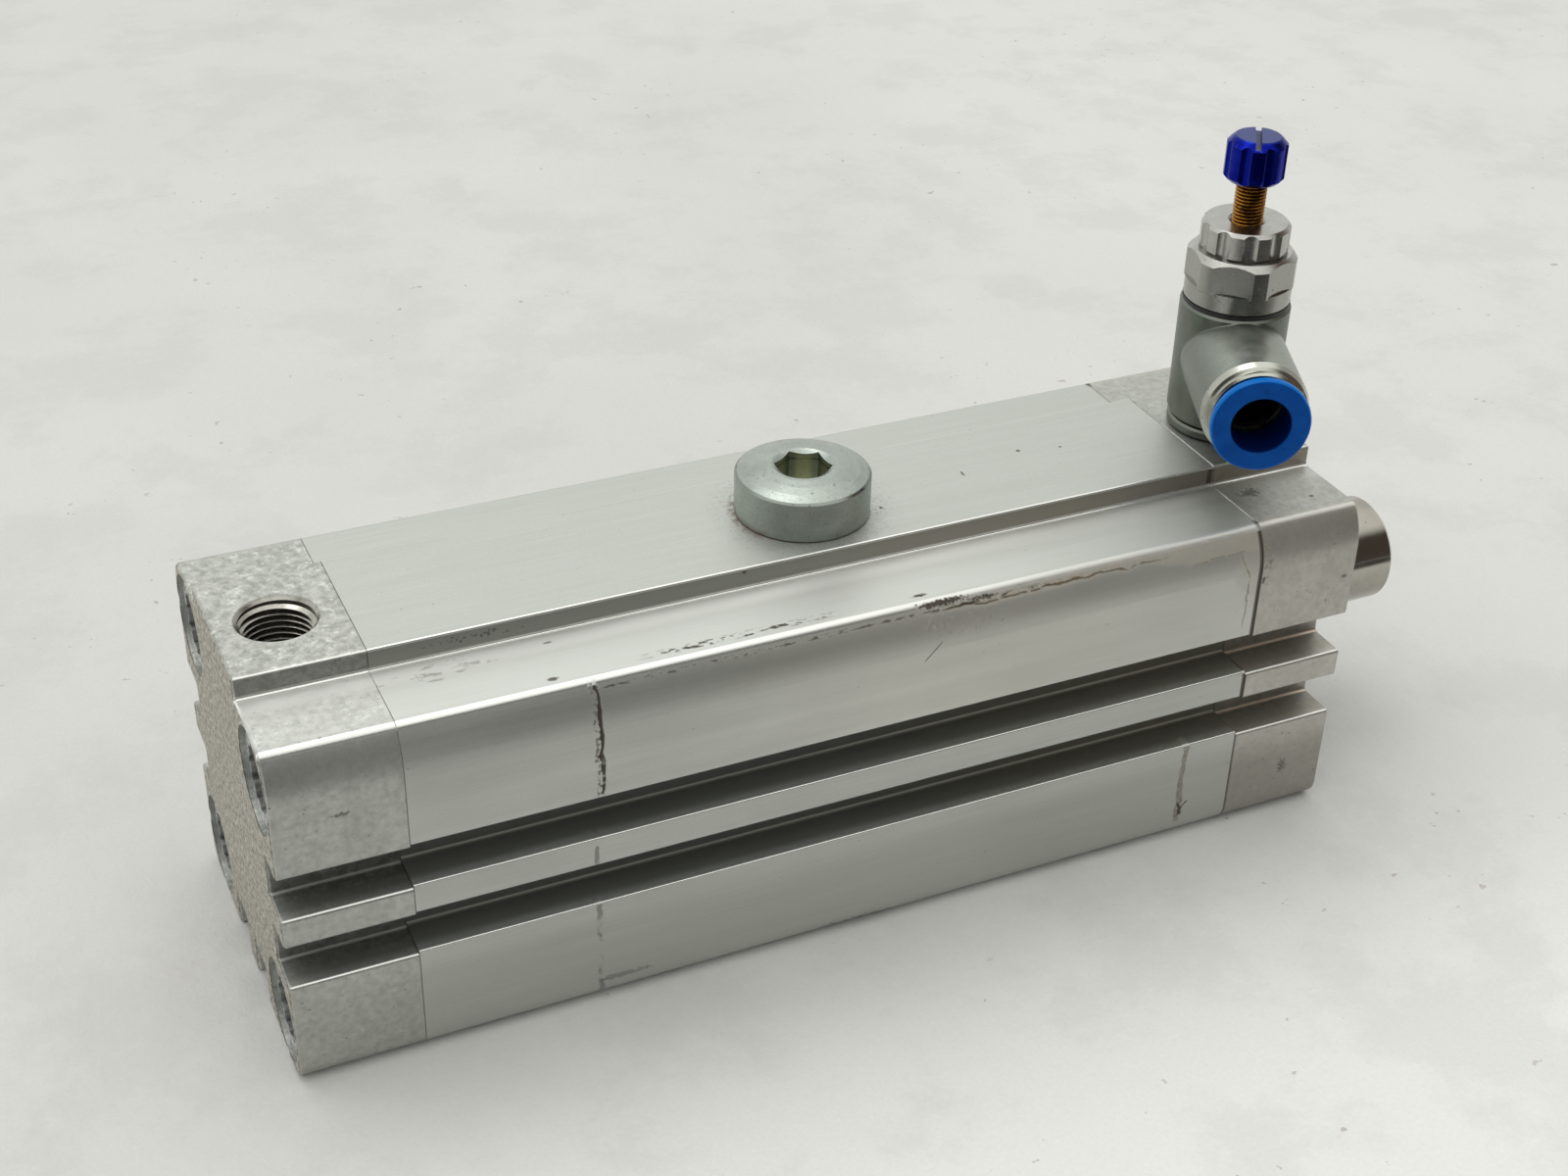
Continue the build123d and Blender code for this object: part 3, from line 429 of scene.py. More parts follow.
def anodised_profile():
    """Drawn and clear-anodised aluminium: fine lines along X, a satin sheen, handling marks."""
    s = Surface("anodised_profile_finish")
    fine = s.noise(5.0, 2.0, (0.012, 1, 1))
    broad = s.noise(0.55, 3.0, (0.03, 1, 1), shift=7.0)
    cloud = s.noise(0.11, 4.0, (0.5, 1, 1), shift=3.0)
    grain = s.noise(3.2, 3.0, shift=13.0)
    side = s.unsigned(s.y)
    near = near_face(s)
    colour = s.mix(s.spread(fine, 0, 1), (0.55, 0.565, 0.535), (0.615, 0.625, 0.595))
    colour = s.mix(s.spread(broad, 0, 0.22), colour, (0.53, 0.545, 0.515))
    colour = s.mix(s.spread(grain, 0.0, 0.30), colour, (0.47, 0.48, 0.455))
    # Painted highlight on the lower flat of the near side.
    colour = s.mix(lit_strip(s), colour, WELL_LIT)
    wall = ridge_wall(s, (25.2, 25.4), (27.8, 27.7))
    # Painted shade on the upright walls of the raised flat, browner towards the front.
    wall_painted_shade = s.mix(s.fade_mm(s.x, 50, 120), (0.20, 0.20, 0.18), (0.27, 0.225, 0.175))
    colour = s.over(colour, wall, 0.68, wall_painted_shade)
    # Painted light on the upper part of the near face.
    lit_end = s.both(near, s.fade_mm(s.x, 30, 125), s.fade_mm(s.z, 1, 8))
    colour = s.over(colour, lit_end, s.blend(s.fade_mm(s.x, 80, 130), 0.58, 0.20), (0.90, 0.86, 0.79))
    # Painted shade on the lowest part of the near face.
    colour = s.over(colour, s.both(near, s.fade_mm(s.z, -9, -14)), 0.30, (0.36, 0.35, 0.32))
    roughness = s.plus(s.spread(broad, 0.46, 0.54), s.spread(cloud, -0.03, 0.05))

    wander = s.times(s.minus(s.noise(0.35, 4.0), 0.5), 1.6 * MM)
    line_x = s.plus(s.x, wander)
    edge_dirt, edge_blots = rim_dirt(s)
    # Dark patches along the bottom edge of the near face: dirt, and painted shade where the face meets
    # the floor.
    foot = s.both(s.mark((77, -25, -24.4), (7.5, 2.0, 1.3), 0.5), near)
    foot_left = s.both(s.mark((43, -25, -21.4), (4.5, 1.5, 0.6), 0.6), near)
    seam_side = s.both(s.fade_mm(side, 21, 22.5), s.fade_mm(s.z, -8, -2))
    seams = s.either(
        s.times(s.fade_from(s.x, REAR_SEAM, 0.05, 0), 0.5),
        s.both(s.fade_from(s.x, FRONT_SEAM, -0.42, -0.24), seam_side),
        s.both(s.fade_from(s.x, FRONT_SEAM, -0.95, -0.65), wall),
        s.fade_from(s.x, FRONT_SEAM, -0.10, 0),
    )
    layers = oil_film(s, near, line_x)
    layers += [(edge_dirt, BROWN_DIRT, 0.90), (edge_blots, BROWN_DIRT, 0.92)]
    layers += [(foot, GRIME, 0.65), (foot_left, GRIME, 0.45)]
    layers += oil_line(s, near, line_x)
    layers += drip(s, near, line_x)
    layers += nicks_and_smudges(s, near, s.facing(2, 0.8, 0.95))
    layers += plug_ring(s)
    layers += [(seams, GRIME, 0.85)]
    colour, roughness, metallic = grimy(s, colour, roughness, 1.0, layers)

    # Painted shade in the grooves.
    shade = s.mix(s.fade_mm(s.x, 60, 130), GROOVE_SHADE, GROOVE_SHADE_RIGHT)
    colour = s.over(colour, groove_shade(s), 0.46, shade)
    bright = s.both(burnished_highlit_edges(s, 0.0), s.other(s.either(edge_dirt, edge_blots)))
    # Painted highlight along the burnished edges, which are also made smoother.
    colour = s.over(colour, bright, 0.9, EDGE_HIGHLIGHT)
    roughness = s.blend(bright, roughness, BURNISHED_ROUGHNESS)
    # Painted highlight along the inner corners of the grooves.
    corner_line = groove_corner(s, 0.0)
    colour = s.over(colour, corner_line, 0.7, (0.60, 0.60, 0.52))
    metallic = s.times(metallic, s.blend(corner_line, 0.85, 0.4))
    relief = s.bump(fine, 0.006, 0.6)
    relief = s.bump(cloud, 0.05, 0.25, relief)
    return s.finish(colour, roughness, metallic, relief)


def cap_dirt(s, near, end_face, side_only, wall):
    """Pits all over, dirt in the seams, and the spots of the near side, as layers for grimy()."""
    pits = s.fade(s.noise(1.5, 2.0, shift=2.0), 0.70, 0.74)
    end_pits = s.both(end_face, s.fade(s.noise(2.4, 3.0, shift=5.0), 0.60, 0.68))
    smear = s.both(s.mark((138.2, -24.6, 20.5), (0.8, 1.6, 5.0), 0.9, 1.6), near)
    smear = s.both(smear, s.fade(s.noise(1.9, 5.0), 0.47, 0.60))
    drops = s.either(
        s.mark((137.75, -24.9, 22.3), (0.4, 0.5, 0.9), 0.5, 2),
        s.mark((137.7, -25, 17.2), (0.35, 0.5, 0.8), 0.5, 2),
    )
    spots = s.either(
        s.mark((151.6, -25, 14.6), (0.6, 0.6, 0.4), 0.3, 3),
        s.mark((146.4, -25, -17.0), (0.7, 0.6, 1.2), 1.2, 3.2),
        s.mark((141.0, -15.0, 25), (1.8, 1.2, 0.6), 0.9, 1.6),
        s.mark((148.5, -19.0, 25), (0.5, 0.4, 0.6), 0.3, 3),
        s.mark((8.5, -24.9, 15.5), (1.3, 0.8, 0.35), 0.7, 2.0),
    )
    rear = s.both(s.fade_from(s.x, REAR_SEAM, -0.12, 0), s.fade_from(s.x, REAR_SEAM, 1, 0))
    rear = s.both(rear, side_only, s.spread(s.noise(0.8, 3.0), 0.1, 0.5))
    front = s.fade_from(s.x, FRONT_SEAM, 0.48, 0.22)
    front = s.both(front, s.fade_from(s.x, FRONT_SEAM, -1, 0), s.either(side_only, wall))
    front = s.both(front, s.blend(s.fade_mm(s.z, -8, -2), 0.45, 1.0))
    return [
        (pits, GRIME, 0.45), (end_pits, GRIME, 0.60), (smear, DRIED_OIL, 0.70), (drops, GRIME, 0.75),
        (spots, GRIME, 0.60), (s.either(rear, front), GRIME, 0.92),
    ]


def die_cast_cap():
    """Etched and anodised die casting: mottled with dark pits, raw and warmer on the end faces."""
    s = Surface("die_cast_cap_finish")
    mottle = s.noise(0.95, 8.0, (1, 1, 1), 0.68)
    patches = s.noise(0.18, 3.0, shift=4.0)
    side_only = s.fade_mm(s.unsigned(s.y), 21, 22.5)
    at_front = s.fade_mm(s.x, 60, 120)
    calm = s.either(side_only, at_front)
    crystal = s.times(s.minus(s.spread(mottle, -0.35, 1.35), 0.5), s.blend(calm, 0.85, 0.34))
    crystal = s.fade(s.plus(crystal, 0.5), -0.1, 1.1)
    colour = s.mix(crystal, (0.35, 0.36, 0.335), (0.61, 0.615, 0.585))
    colour = s.mix(s.spread(patches, 0, 0.3), colour, (0.49, 0.49, 0.455))
    # Painted highlight on the lower flat of the near side.
    colour = s.mix(lit_strip(s), colour, WELL_LIT)
    flakes = s.fade(s.noise(0.7, 7.0, shift=17.0, rough=0.72), 0.56, 0.62)
    flakes = s.both(flakes, s.blend(calm, 1.0, 0.2))
    colour = s.over(colour, flakes, 0.42, (0.92, 0.93, 0.90))
    warm_side = s.both(side_only, s.fade_mm(s.x, 110, 140))
    colour = s.over(colour, warm_side, 0.40, (0.58, 0.535, 0.465))
    # Painted shade low on the sides of the caps, stronger towards the front.
    low_side = s.both(side_only, s.fade_mm(s.z, -9, -16))
    colour = s.over(colour, low_side, s.blend(s.fade_mm(s.x, 50, 120), 0.15, 0.60), (0.27, 0.26, 0.23))
    wall = ridge_wall(s, (25.3, 25.5), (27.7, 27.5))
    # Painted shade on the upright walls of the raised flat, browner towards the front.
    wall_painted_shade = s.mix(s.fade_mm(s.x, 50, 120), (0.17, 0.17, 0.155), (0.36, 0.28, 0.21))
    colour = s.over(colour, wall, 0.60, wall_painted_shade)
    roughness = s.plus(s.spread(mottle, 0.54, 0.42), s.spread(patches, -0.03, 0.05))
    end_face = s.either(
        s.fade_from(s.x, REAR_END, 0.12, 0.05),
        s.fade_from(s.x, FRONT_END, -0.12, -0.05),
    )
    grain = s.noise(1.1, 8.0, shift=9.0, rough=0.85)
    raw = s.mix(s.spread(grain, -0.8, 1.8), (0.20, 0.185, 0.155), (0.72, 0.68, 0.61))
    colour = s.mix(end_face, colour, raw)
    roughness = s.blend(end_face, roughness, 0.55)
    layers = cap_dirt(s, near_face(s), end_face, side_only, wall)
    colour, roughness, metallic = grimy(s, colour, roughness, 1.0, layers)

    # Painted shade in the grooves.
    groove = s.both(groove_shade(s), s.other(end_face))
    warm = s.fade_mm(s.x, 60, 130)
    shade = s.mix(warm, GROOVE_SHADE, CAP_GROOVE_SHADE_RIGHT)
    colour = s.over(colour, groove, s.blend(warm, 0.42, 0.30), shade)
    bright = burnished_highlit_edges(s, CAP_GROOVE_DROP)
    # Painted highlight along the burnished edges, which are also made smoother.
    colour = s.over(colour, bright, 0.85, EDGE_HIGHLIGHT)
    roughness = s.blend(bright, roughness, BURNISHED_ROUGHNESS)
    # Painted highlight along the inner corners of the grooves, warmer towards the front.
    corner_line = s.both(groove_corner(s, CAP_GROOVE_DROP), s.other(end_face))
    colour = s.over(colour, corner_line, 0.85, s.mix(warm, (0.70, 0.70, 0.66), (0.95, 0.80, 0.68)))
    # the threads of the open port are cut bright
    cut = s.both(s.fade_mm(s.off_axis(PORT_X), 5.3, 5.1), s.fade_mm(s.z, 12, 13))
    colour = s.mix(cut, colour, s.mix(s.spread(mottle, 0, 1), (0.36, 0.35, 0.31), (0.52, 0.50, 0.46)))
    roughness = s.blend(cut, roughness, 0.22)
    metallic = s.times(metallic, s.blend(cut, 0.82, 1.0))
    relief = s.bump(mottle, 0.03, 0.5)
    relief = s.bump(s.both(end_face, grain), 0.25, 0.9, relief)
    return s.finish(colour, roughness, metallic, relief)


def zinc_screw():
    """Blue-passivated zinc on steel: bright, faintly bluish, dirty in the sockets."""
    s = Surface("zinc_screw_finish")
    tone = s.noise(0.6, 4.0)
    fine = s.noise(4.0, 3.0)
    colour = s.mix(s.spread(tone, 0, 1), (0.52, 0.56, 0.58), (0.70, 0.72, 0.71))
    roughness = s.spread(fine, 0.16, 0.26)
    grime = s.fade(s.noise(1.1, 5.0, shift=6.0), 0.52, 0.68)
    across = s.minus(s.unsigned(s.y), SCREW_PLACE)
    up = s.minus(s.unsigned(s.z), SCREW_PLACE)
    away = s.length(across, up)
    socket = s.both(s.fade_mm(away, 4.6, 3.8), s.fade(s.noise(0.9, 4.0, shift=2.0), 0.36, 0.50))
    layers = [(grime, GRIME, 0.45), (socket, SOCKET_DIRT, 0.80)]
    colour, roughness, metallic = grimy(s, colour, roughness, 1.0, layers)
    return s.finish(colour, roughness, metallic, s.bump(fine, 0.01, 0.5))


def zinc_plug():
    """Satin zinc plating: grey-green, finely pitted, yellow in the socket, rusty at the foot."""
    s = Surface("zinc_plug_finish")
    tone = s.noise(0.3, 4.0)
    sand = s.noise(3.2, 4.0)
    colour = s.mix(s.spread(tone, 0, 1), (0.37, 0.405, 0.375), (0.49, 0.53, 0.495))
    colour = s.mix(s.spread(sand, 0, 0.40), colour, (0.24, 0.265, 0.245))
    roughness = s.plus(s.spread(tone, 0.30, 0.38), s.spread(sand, -0.02, 0.05))
    # The bevel at the crown's rim is smoother, with a painted dark reflection in its colour.
    rim = s.fade_from(s.z, PLUG_HIGH.z, -1.42, -1.30)
    rim = s.both(rim, s.fade_from(s.z, PLUG_HIGH.z, -1.02, -1.12))
    roughness = s.blend(rim, roughness, 0.16)
    colour = s.over(colour, rim, 0.6, (0.16, 0.18, 0.165))
    away = s.off_axis(PLUG_X)
    socket = s.both(s.fade_mm(away, 3.7, 3.4), s.fade_from(s.z, PLUG_HIGH.z, -0.5, -0.7))
    colour = s.over(colour, socket, 0.75, (0.68, 0.68, 0.50))
    specks = s.fade(s.noise(1.8, 3.0, shift=8.0), 0.66, 0.70)
    foot = s.fade_from(s.z, TOP_Z, 1.1, 0.1)
    rust = s.both(foot, rusty_side(s, -5, -8.2), s.fade(s.noise(1.2, 4.0), 0.36, 0.52))
    under = s.fade_from(s.z, TOP_Z, 0.35, 0.1)
    layers = [(specks, GRIME, 0.5), (under, GRIME, 0.7), (rust, RUST, 0.55)]
    colour, roughness, metallic = grimy(s, colour, roughness, 1.0, layers)
    return s.finish(colour, roughness, metallic, s.bump(sand, 0.012, 0.6))


def tube_place(s):
    """Distance from the axis of the tube socket, and place along it with 0 at the mouth."""
    offset = s.vector("SUBTRACT", s.place, tuple(TUBE_AT))
    square = s.vector("DOT_PRODUCT", offset, offset)
    along = s.vector("DOT_PRODUCT", offset, tuple(TUBE_ALONG))
    away = s.math("SQRT", s.math("MAXIMUM", s.minus(square, s.times(along, along)), 0.0))
    return away, along


def zinc_body():
    """Cast and plated swivel body: blotchy warm grey with a soft shine."""
    s = Surface("zinc_body_finish")
    blotch = s.noise(0.28, 4.0, (1, 1, 0.6))
    fine = s.noise(2.4, 4.0)
    # The upright body is coloured much darker than the arm: partly its own darker tone, partly painted
    # shade.
    colour = s.mix(s.spread(blotch, 0, 1), (0.13, 0.147, 0.127), (0.215, 0.23, 0.20))
    away = s.off_axis(VALVE_X)
    arm = s.fade_mm(away, 7.75, 8.3)
    arm_colour = s.mix(s.spread(blotch, 0, 1), (0.37, 0.405, 0.365), (0.53, 0.555, 0.51))
    colour = s.mix(arm, colour, arm_colour)
    colour = s.mix(s.spread(fine, 0, 0.25), colour, (0.19, 0.205, 0.18))
    roughness = s.plus(s.spread(blotch, 0.34, 0.44), s.spread(fine, -0.02, 0.04))
    tube_away, end = tube_place(s)
    # Painted shade on the side of the arm that faces towards -X.
    shaded = s.both(arm, s.facing(0, -0.25, -0.85))
    colour = s.over(colour, shaded, 0.72, (0.13, 0.145, 0.125))
    muzzle = s.both(s.fade_mm(end, -1.9, -1.4), arm)
    roughness = s.blend(muzzle, roughness, 0.20)
    colour = s.over(colour, muzzle, 0.7, (0.55, 0.545, 0.49))
    # Painted shade deep inside the tube socket's bore.
    inside = s.both(s.fade_mm(tube_away, 6.2, 5.8), s.fade_mm(end, -0.3, -0.8))
    inside = s.both(inside, s.fade_mm(end, -20, -19))
    colour = s.over(colour, inside, 0.85, (0.02, 0.02, 0.022))
    specks = s.fade(s.noise(1.3, 3.0, shift=8.0), 0.68, 0.72)
    colour, roughness, metallic = grimy(s, colour, roughness, 1.0, [(specks, GRIME, 0.4)])
    relief = s.bump(blotch, 0.08, 0.3)
    return s.finish(colour, roughness, metallic, s.bump(fine, 0.012, 0.5, relief))


def turned_aluminium():
    """Bright turned metal: fine rings round the valve's axis and small dark handling spots."""
    s = Surface("turned_aluminium_finish")
    away = s.off_axis(VALVE_X)
    ring_pitch, line_pitch = 0.16 * MM, 0.19 * MM
    radial = s.math("SINE", s.times(away, 2 * math.pi / ring_pitch))
    upright = s.math("SINE", s.times(s.z, 2 * math.pi / line_pitch))
    flat = s.facing(2, 0.7, 0.9)
    rings = s.blend(flat, upright, radial)
    cloud = s.noise(0.5, 5.0)
    colour = s.mix(s.spread(cloud, 0, 1), (0.41, 0.405, 0.385), (0.50, 0.495, 0.475))
    # Painted shade on the side faces below the top of the hollow bolt.
    hexagon = s.both(s.fade_from(s.z, BOLT_HIGH.z, 0.1, -0.1), s.other(s.facing(2, 0.3, 0.5)))
    colour = s.over(colour, hexagon, 0.5, (0.27, 0.275, 0.25))
    roughness = s.spread(cloud, 0.22, 0.28)
    specks = s.fade(s.noise(1.5, 4.0, shift=3.0), 0.68, 0.71)
    drag = s.mark((VALVE_X / MM - 5.9, -4.1, 50.5), (1.4, 1.4, 2.0), 1.2, 1.6)
    drag = s.both(drag, s.fade(s.noise(1.6, 3.0), 0.5, 0.6))
    foot = s.fade_from(s.z, BOLT_LOW.z, 28.0, 27.6)
    layers = [(specks, GRIME, 0.5), (drag, GRIME, 0.5), (s.times(foot, 0.3), GRIME, 0.5)]
    colour, roughness, metallic = grimy(s, colour, roughness, 1.0, layers)
    relief = s.bump(rings, 0.0015, 0.6)
    return s.finish(colour, roughness, metallic, s.bump(cloud, 0.008, 0.25, relief))


def rod_chrome():
    """Ground and polished hard chrome: near-mirror, with hair-fine grinding rings."""
    s = Surface("rod_chrome_finish")
    rings = s.noise(9.0, 2.0, (1, 0.04, 0.04))
    smudge = s.noise(0.25, 4.0)
    colour = s.mix(s.spread(smudge, 0, 1), (0.36, 0.34, 0.30), (0.43, 0.41, 0.37))
    roughness = s.plus(s.spread(smudge, 0.07, 0.15), s.spread(rings, 0.0, 0.05))
    specks = s.fade(s.noise(1.2, 3.0, shift=5.0), 0.70, 0.73)
    colour, roughness, metallic = grimy(s, colour, roughness, 1.0, [(specks, GRIME, 0.35)])
    return s.finish(colour, roughness, metallic, s.bump(rings, 0.002, 0.5))


def brass_screw():
    """Fine-threaded brass, orange where it is bright and brown with old grease in the thread."""
    s = Surface("brass_screw_finish")
    tone = s.noise(0.8, 4.0)
    away = s.off_axis(VALVE_X)
    crest = s.fade_mm(away, 1.92, 2.12)
    colour = s.mix(crest, (0.06, 0.020, 0.003), (0.52, 0.235, 0.030))
    stain = s.fade(s.noise(0.55, 4.0, (1, 1, 0.7), shift=4.0), 0.46, 0.60)
    colour = s.over(colour, stain, 0.80, (0.045, 0.016, 0.003))
    roughness = s.spread(tone, 0.20, 0.36)
    return s.finish(colour, roughness, 0.9, s.bump(tone, 0.03, 0.4))


def blue_anodised():
    """Deep royal-blue dyed aluminium with turning lines and paler patches near the top of the rim."""
    s = Surface("blue_anodised_finish")
    tone = s.noise(0.7, 4.0)
    lines = s.noise(6.0, 2.0, (0.15, 0.15, 1))
    away = s.off_axis(VALVE_X)
    colour = s.mix(s.spread(tone, 0, 1), (0.002, 0.005, 0.21), (0.005, 0.016, 0.34))
    crown = s.both(s.fade_mm(away, 3.35, 3.0), s.fade_from(s.z, KNOB_HIGH.z, -0.3, -0.1))
    colour = s.over(colour, crown, 0.6, (0.025, 0.045, 0.17))
    # Painted shade on the floor of the slot.
    slot_floor = s.both(s.fade_mm(away, 3.7, 3.5), s.fade_from(s.z, KNOB_HIGH.z, -0.35, -0.55))
    colour = s.over(colour, slot_floor, 0.8, (0.001, 0.002, 0.03))
    # Paler blue patches near the top of the rim.
    pale_rim_patches = s.both(s.fade_mm(away, 3.55, 4.1), s.fade(s.noise(1.3, 5.0), 0.50, 0.66))
    rim = s.both(s.fade_from(s.z, KNOB_HIGH.z, -1.4, -0.8), pale_rim_patches)
    colour = s.over(colour, rim, 0.5, (0.06, 0.10, 0.50))
    roughness = s.plus(s.spread(tone, 0.18, 0.28), s.spread(lines, -0.02, 0.04))
    return s.finish(colour, roughness, 0.95, s.bump(lines, 0.004, 0.6))


def blue_plastic():
    """Moulded sky-blue ring: a light gloss over a faint moulding texture."""
    s = Surface("blue_plastic_finish")
    tone = s.noise(0.35, 3.0)
    grain = s.noise(5.0, 3.0)
    colour = s.mix(s.spread(tone, 0, 1), (0.0005, 0.052, 0.26), (0.001, 0.072, 0.34))
    scuff = s.fade(s.noise(1.8, 5.0, (1, 1, 0.5)), 0.62, 0.72)
    colour = s.over(colour, scuff, 0.25, (0.01, 0.13, 0.42))
    away, along = tube_place(s)
    # Painted shade inside the bore of the ring.
    bore = s.both(s.fade_mm(away, 4.25, 4.12), s.fade_mm(along, 3.3, 2.4))
    colour = s.over(colour, bore, 0.88, (0.002, 0.004, 0.06))
    # Painted highlight along the outer edge of the ring.
    rim = s.fade_mm(away, 6.45, 6.62)
    colour = s.over(colour, rim, 0.8, (0.004, 0.19, 0.68))
    roughness = s.plus(s.spread(tone, 0.25, 0.33), s.times(scuff, 0.2))
    relief = s.bump(grain, 0.008, 0.5)
    return s.finish(colour, roughness, 0.0, relief, Specular_IOR_Level=0.10)


# ---- materials of the pieces inside ----
# darker colour, lighter colour, roughness, metallic, grains to the millimetre, relief in mm, stretch
INNER_LOOKS = {
    "black_rubber": ((0.010, 0.010, 0.010), (0.03, 0.03, 0.03), 0.45, 0.0, 3, 0.02),
    "polyurethane": ((0.05, 0.12, 0.10), (0.09, 0.19, 0.16), 0.35, 0.0, 2, 0.015),
    "bearing_bronze": ((0.38, 0.22, 0.09), (0.52, 0.33, 0.15), 0.35, 1.0, 3, 0.01),
    "piston_aluminium": ((0.62, 0.62, 0.61), (0.78, 0.78, 0.77), 0.28, 1.0, 5, 0.006, (1, 0.1, 0.1)),
    "magnet_ferrite": ((0.03, 0.03, 0.035), (0.07, 0.07, 0.075), 0.55, 0.1, 3, 0.02),
    "guide_plastic": ((0.22, 0.15, 0.08), (0.32, 0.23, 0.13), 0.45, 0.0, 3, 0.01),
    "spring_steel": ((0.05, 0.05, 0.048), (0.11, 0.11, 0.105), 0.32, 1.0, 4, 0.006),
}


def plain_grained(name, dark, light, roughness, metallic, per_mm, depth, stretch=(1, 1, 1)):
    """Colour variation, matching sheen and a fine relief, for the pieces that rarely show."""
    s = Surface(name + "_finish")
    tone = s.noise(per_mm / 4, 4.0, stretch)
    grain = s.noise(per_mm, 4.0, stretch, shift=5.0)
    colour = s.mix(s.spread(tone, 0, 1), dark, light)
    sheen = s.plus(s.spread(grain, roughness - 0.05, roughness + 0.08), s.spread(tone, -0.03, 0.03))
    return s.finish(colour, sheen, metallic, s.bump(grain, depth, 0.6))


def finishes():
    """Every material slot of the record with its material."""
    made = {
        "anodised_profile": anodised_profile(),
        "die_cast_cap": die_cast_cap(),
        "zinc_screw": zinc_screw(),
        "zinc_plug": zinc_plug(),
        "zinc_body": zinc_body(),
        "turned_aluminium": turned_aluminium(),
        "rod_chrome": rod_chrome(),
        "brass_screw": brass_screw(),
        "blue_anodised": blue_anodised(),
        "blue_plastic": blue_plastic(),
    }
    made.update({slot: plain_grained(slot, *look) for slot, look in INNER_LOOKS.items()})
    return made


# ---- helpers for pieces ----
def new_piece(name, vertices, faces, sharp=math.radians(35)):
    """Mesh object from points in metres, smooth except across edges sharper than a given angle."""
    mesh = bpy.data.meshes.new(name)
    mesh.from_pydata(vertices, [], faces)
    mesh.validate()
    mesh.shade_smooth()
    mesh.set_sharp_from_angle(angle=sharp)
    piece = bpy.data.objects.new(name, mesh)
    bpy.context.scene.collection.objects.link(piece)
    return piece


def thread_ridge(wall_r, crest_r, pitch, length, steps=40):
    """Points and faces of a helical ridge about Z from z = 0, standing inwards from a bore's wall."""
    buried = 0.03 * MM
    section = ((wall_r + buried, -0.45), (crest_r, -0.08), (crest_r, 0.08), (wall_r + buried, 0.45))
    count = round(steps * (length / pitch - 1))
    run_out = steps * 0.6
    points = []
    for i in range(count + 1):
        angle = 2 * math.pi * i / steps
        height = pitch * (i / steps + 0.5)
        grown = min(1.0, i / run_out, (count - i) / run_out)
        for radius, along in section:
            radius = wall_r + buried + (radius - wall_r - buried) * grown
            points.append((radius * math.cos(angle), radius * math.sin(angle), height + along * pitch))
    faces = [(3, 2, 1, 0)]
    for i in range(count):
        first = 4 * i
        for k in range(4):
            after = (k + 1) % 4
            faces.append((first + k, first + after, first + 4 + after, first + 4 + k))
    last = 4 * count
    faces.append((last, last + 1, last + 2, last + 3))
    return points, faces


def threaded_bar(crest_r, root_r, pitch, bottom, top, around=48, rows_per_turn=8):
    """Points and faces of an upright bar with a fine outside thread."""
    rows = round((top - bottom) / pitch * rows_per_turn)
    points = []
    for row in range(rows + 1):
        height = bottom + (top - bottom) * row / rows
        ends = min(height - bottom, top - height) / pitch
        for column in range(around):
            turn = column / around
            phase = ((height - bottom) / pitch - turn) % 1.0
            depth = min(1.0, max(0.0, abs(phase - 0.5) * 3.2 - 0.35))
            radius = crest_r - (crest_r - root_r) * max(depth, 1.0 - min(1.0, ends))
            angle = 2 * math.pi * turn
            points.append((radius * math.cos(angle), radius * math.sin(angle), height))
    faces = [tuple(reversed(range(around)))]
    for row in range(rows):
        for column in range(around):
            right = (column + 1) % around
            low, high = row * around, (row + 1) * around
            faces.append((low + column, low + right, high + right, high + column))
    faces.append(tuple(rows * around + column for column in range(around)))
    return points, faces


def placed(points, matrix):
    return [matrix @ Vector(point) for point in points]


def joined(name, parts):
    """One piece from several lots of points and faces."""
    points, faces = [], []
    for part_points, part_faces in parts:
        start = len(points)
        points += part_points
        faces += [tuple(start + index for index in face) for face in part_faces]
    return new_piece(name, points, faces)


def dress(piece, body, slot, looks):
    piece.data.materials.append(looks[slot])
    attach(piece, body)
    return piece


# ---- threads ----
ALONG_X = Matrix.Rotation(math.radians(90), 4, "Y")
AGAINST_X = Matrix.Rotation(math.radians(-90), 4, "Y")


def port_thread(looks):
    """Pipe thread of the open rear port, 28 turns to the inch."""
    mount = MOUNTS["rear_port"]
    wall_r = mount["dims"]["r_mm"] * MM
    pitch = 25.4 / 28 * MM
    depth = 0.58 * MM
    mouth_bevel = 0.45 * MM
    length = mount["dims"]["length_mm"] * MM - 0.2 * MM
    points, faces = thread_ridge(wall_r, wall_r - depth, pitch, length)
    foot = Vector((mount["pos_m"][0], mount["pos_m"][1], TOP_Z - mouth_bevel - length))
    piece = new_piece("rear_port_thread", placed(points, Matrix.Translation(foot)), faces)
    return dress(piece, "housing", "die_cast_cap", looks)


def screw_threads(looks, mount_name, piece_name, outwards):
    """Inside threads of the four hollow cap screws at one end."""
    mount = MOUNTS[mount_name]
    wall_r = mount["dims"]["hole_r_mm"] * MM
    half = mount["dims"]["spacing_x_mm"] / 2 * MM
    depth, pitch, length = 0.5 * MM, 1.0 * MM, 13.5 * MM
    ridge = thread_ridge(wall_r, wall_r - depth, pitch, length, steps=32)
    turn = ALONG_X if outwards < 0 else AGAINST_X
    parts = []
    for y in (-half, half):
        for z in (-half, half):
            place = Matrix.Translation((mount["pos_m"][0], y, z)) @ turn
            parts.append((placed(ridge[0], place), ridge[1]))
    return dress(joined(piece_name, parts), "housing", "zinc_screw", looks)


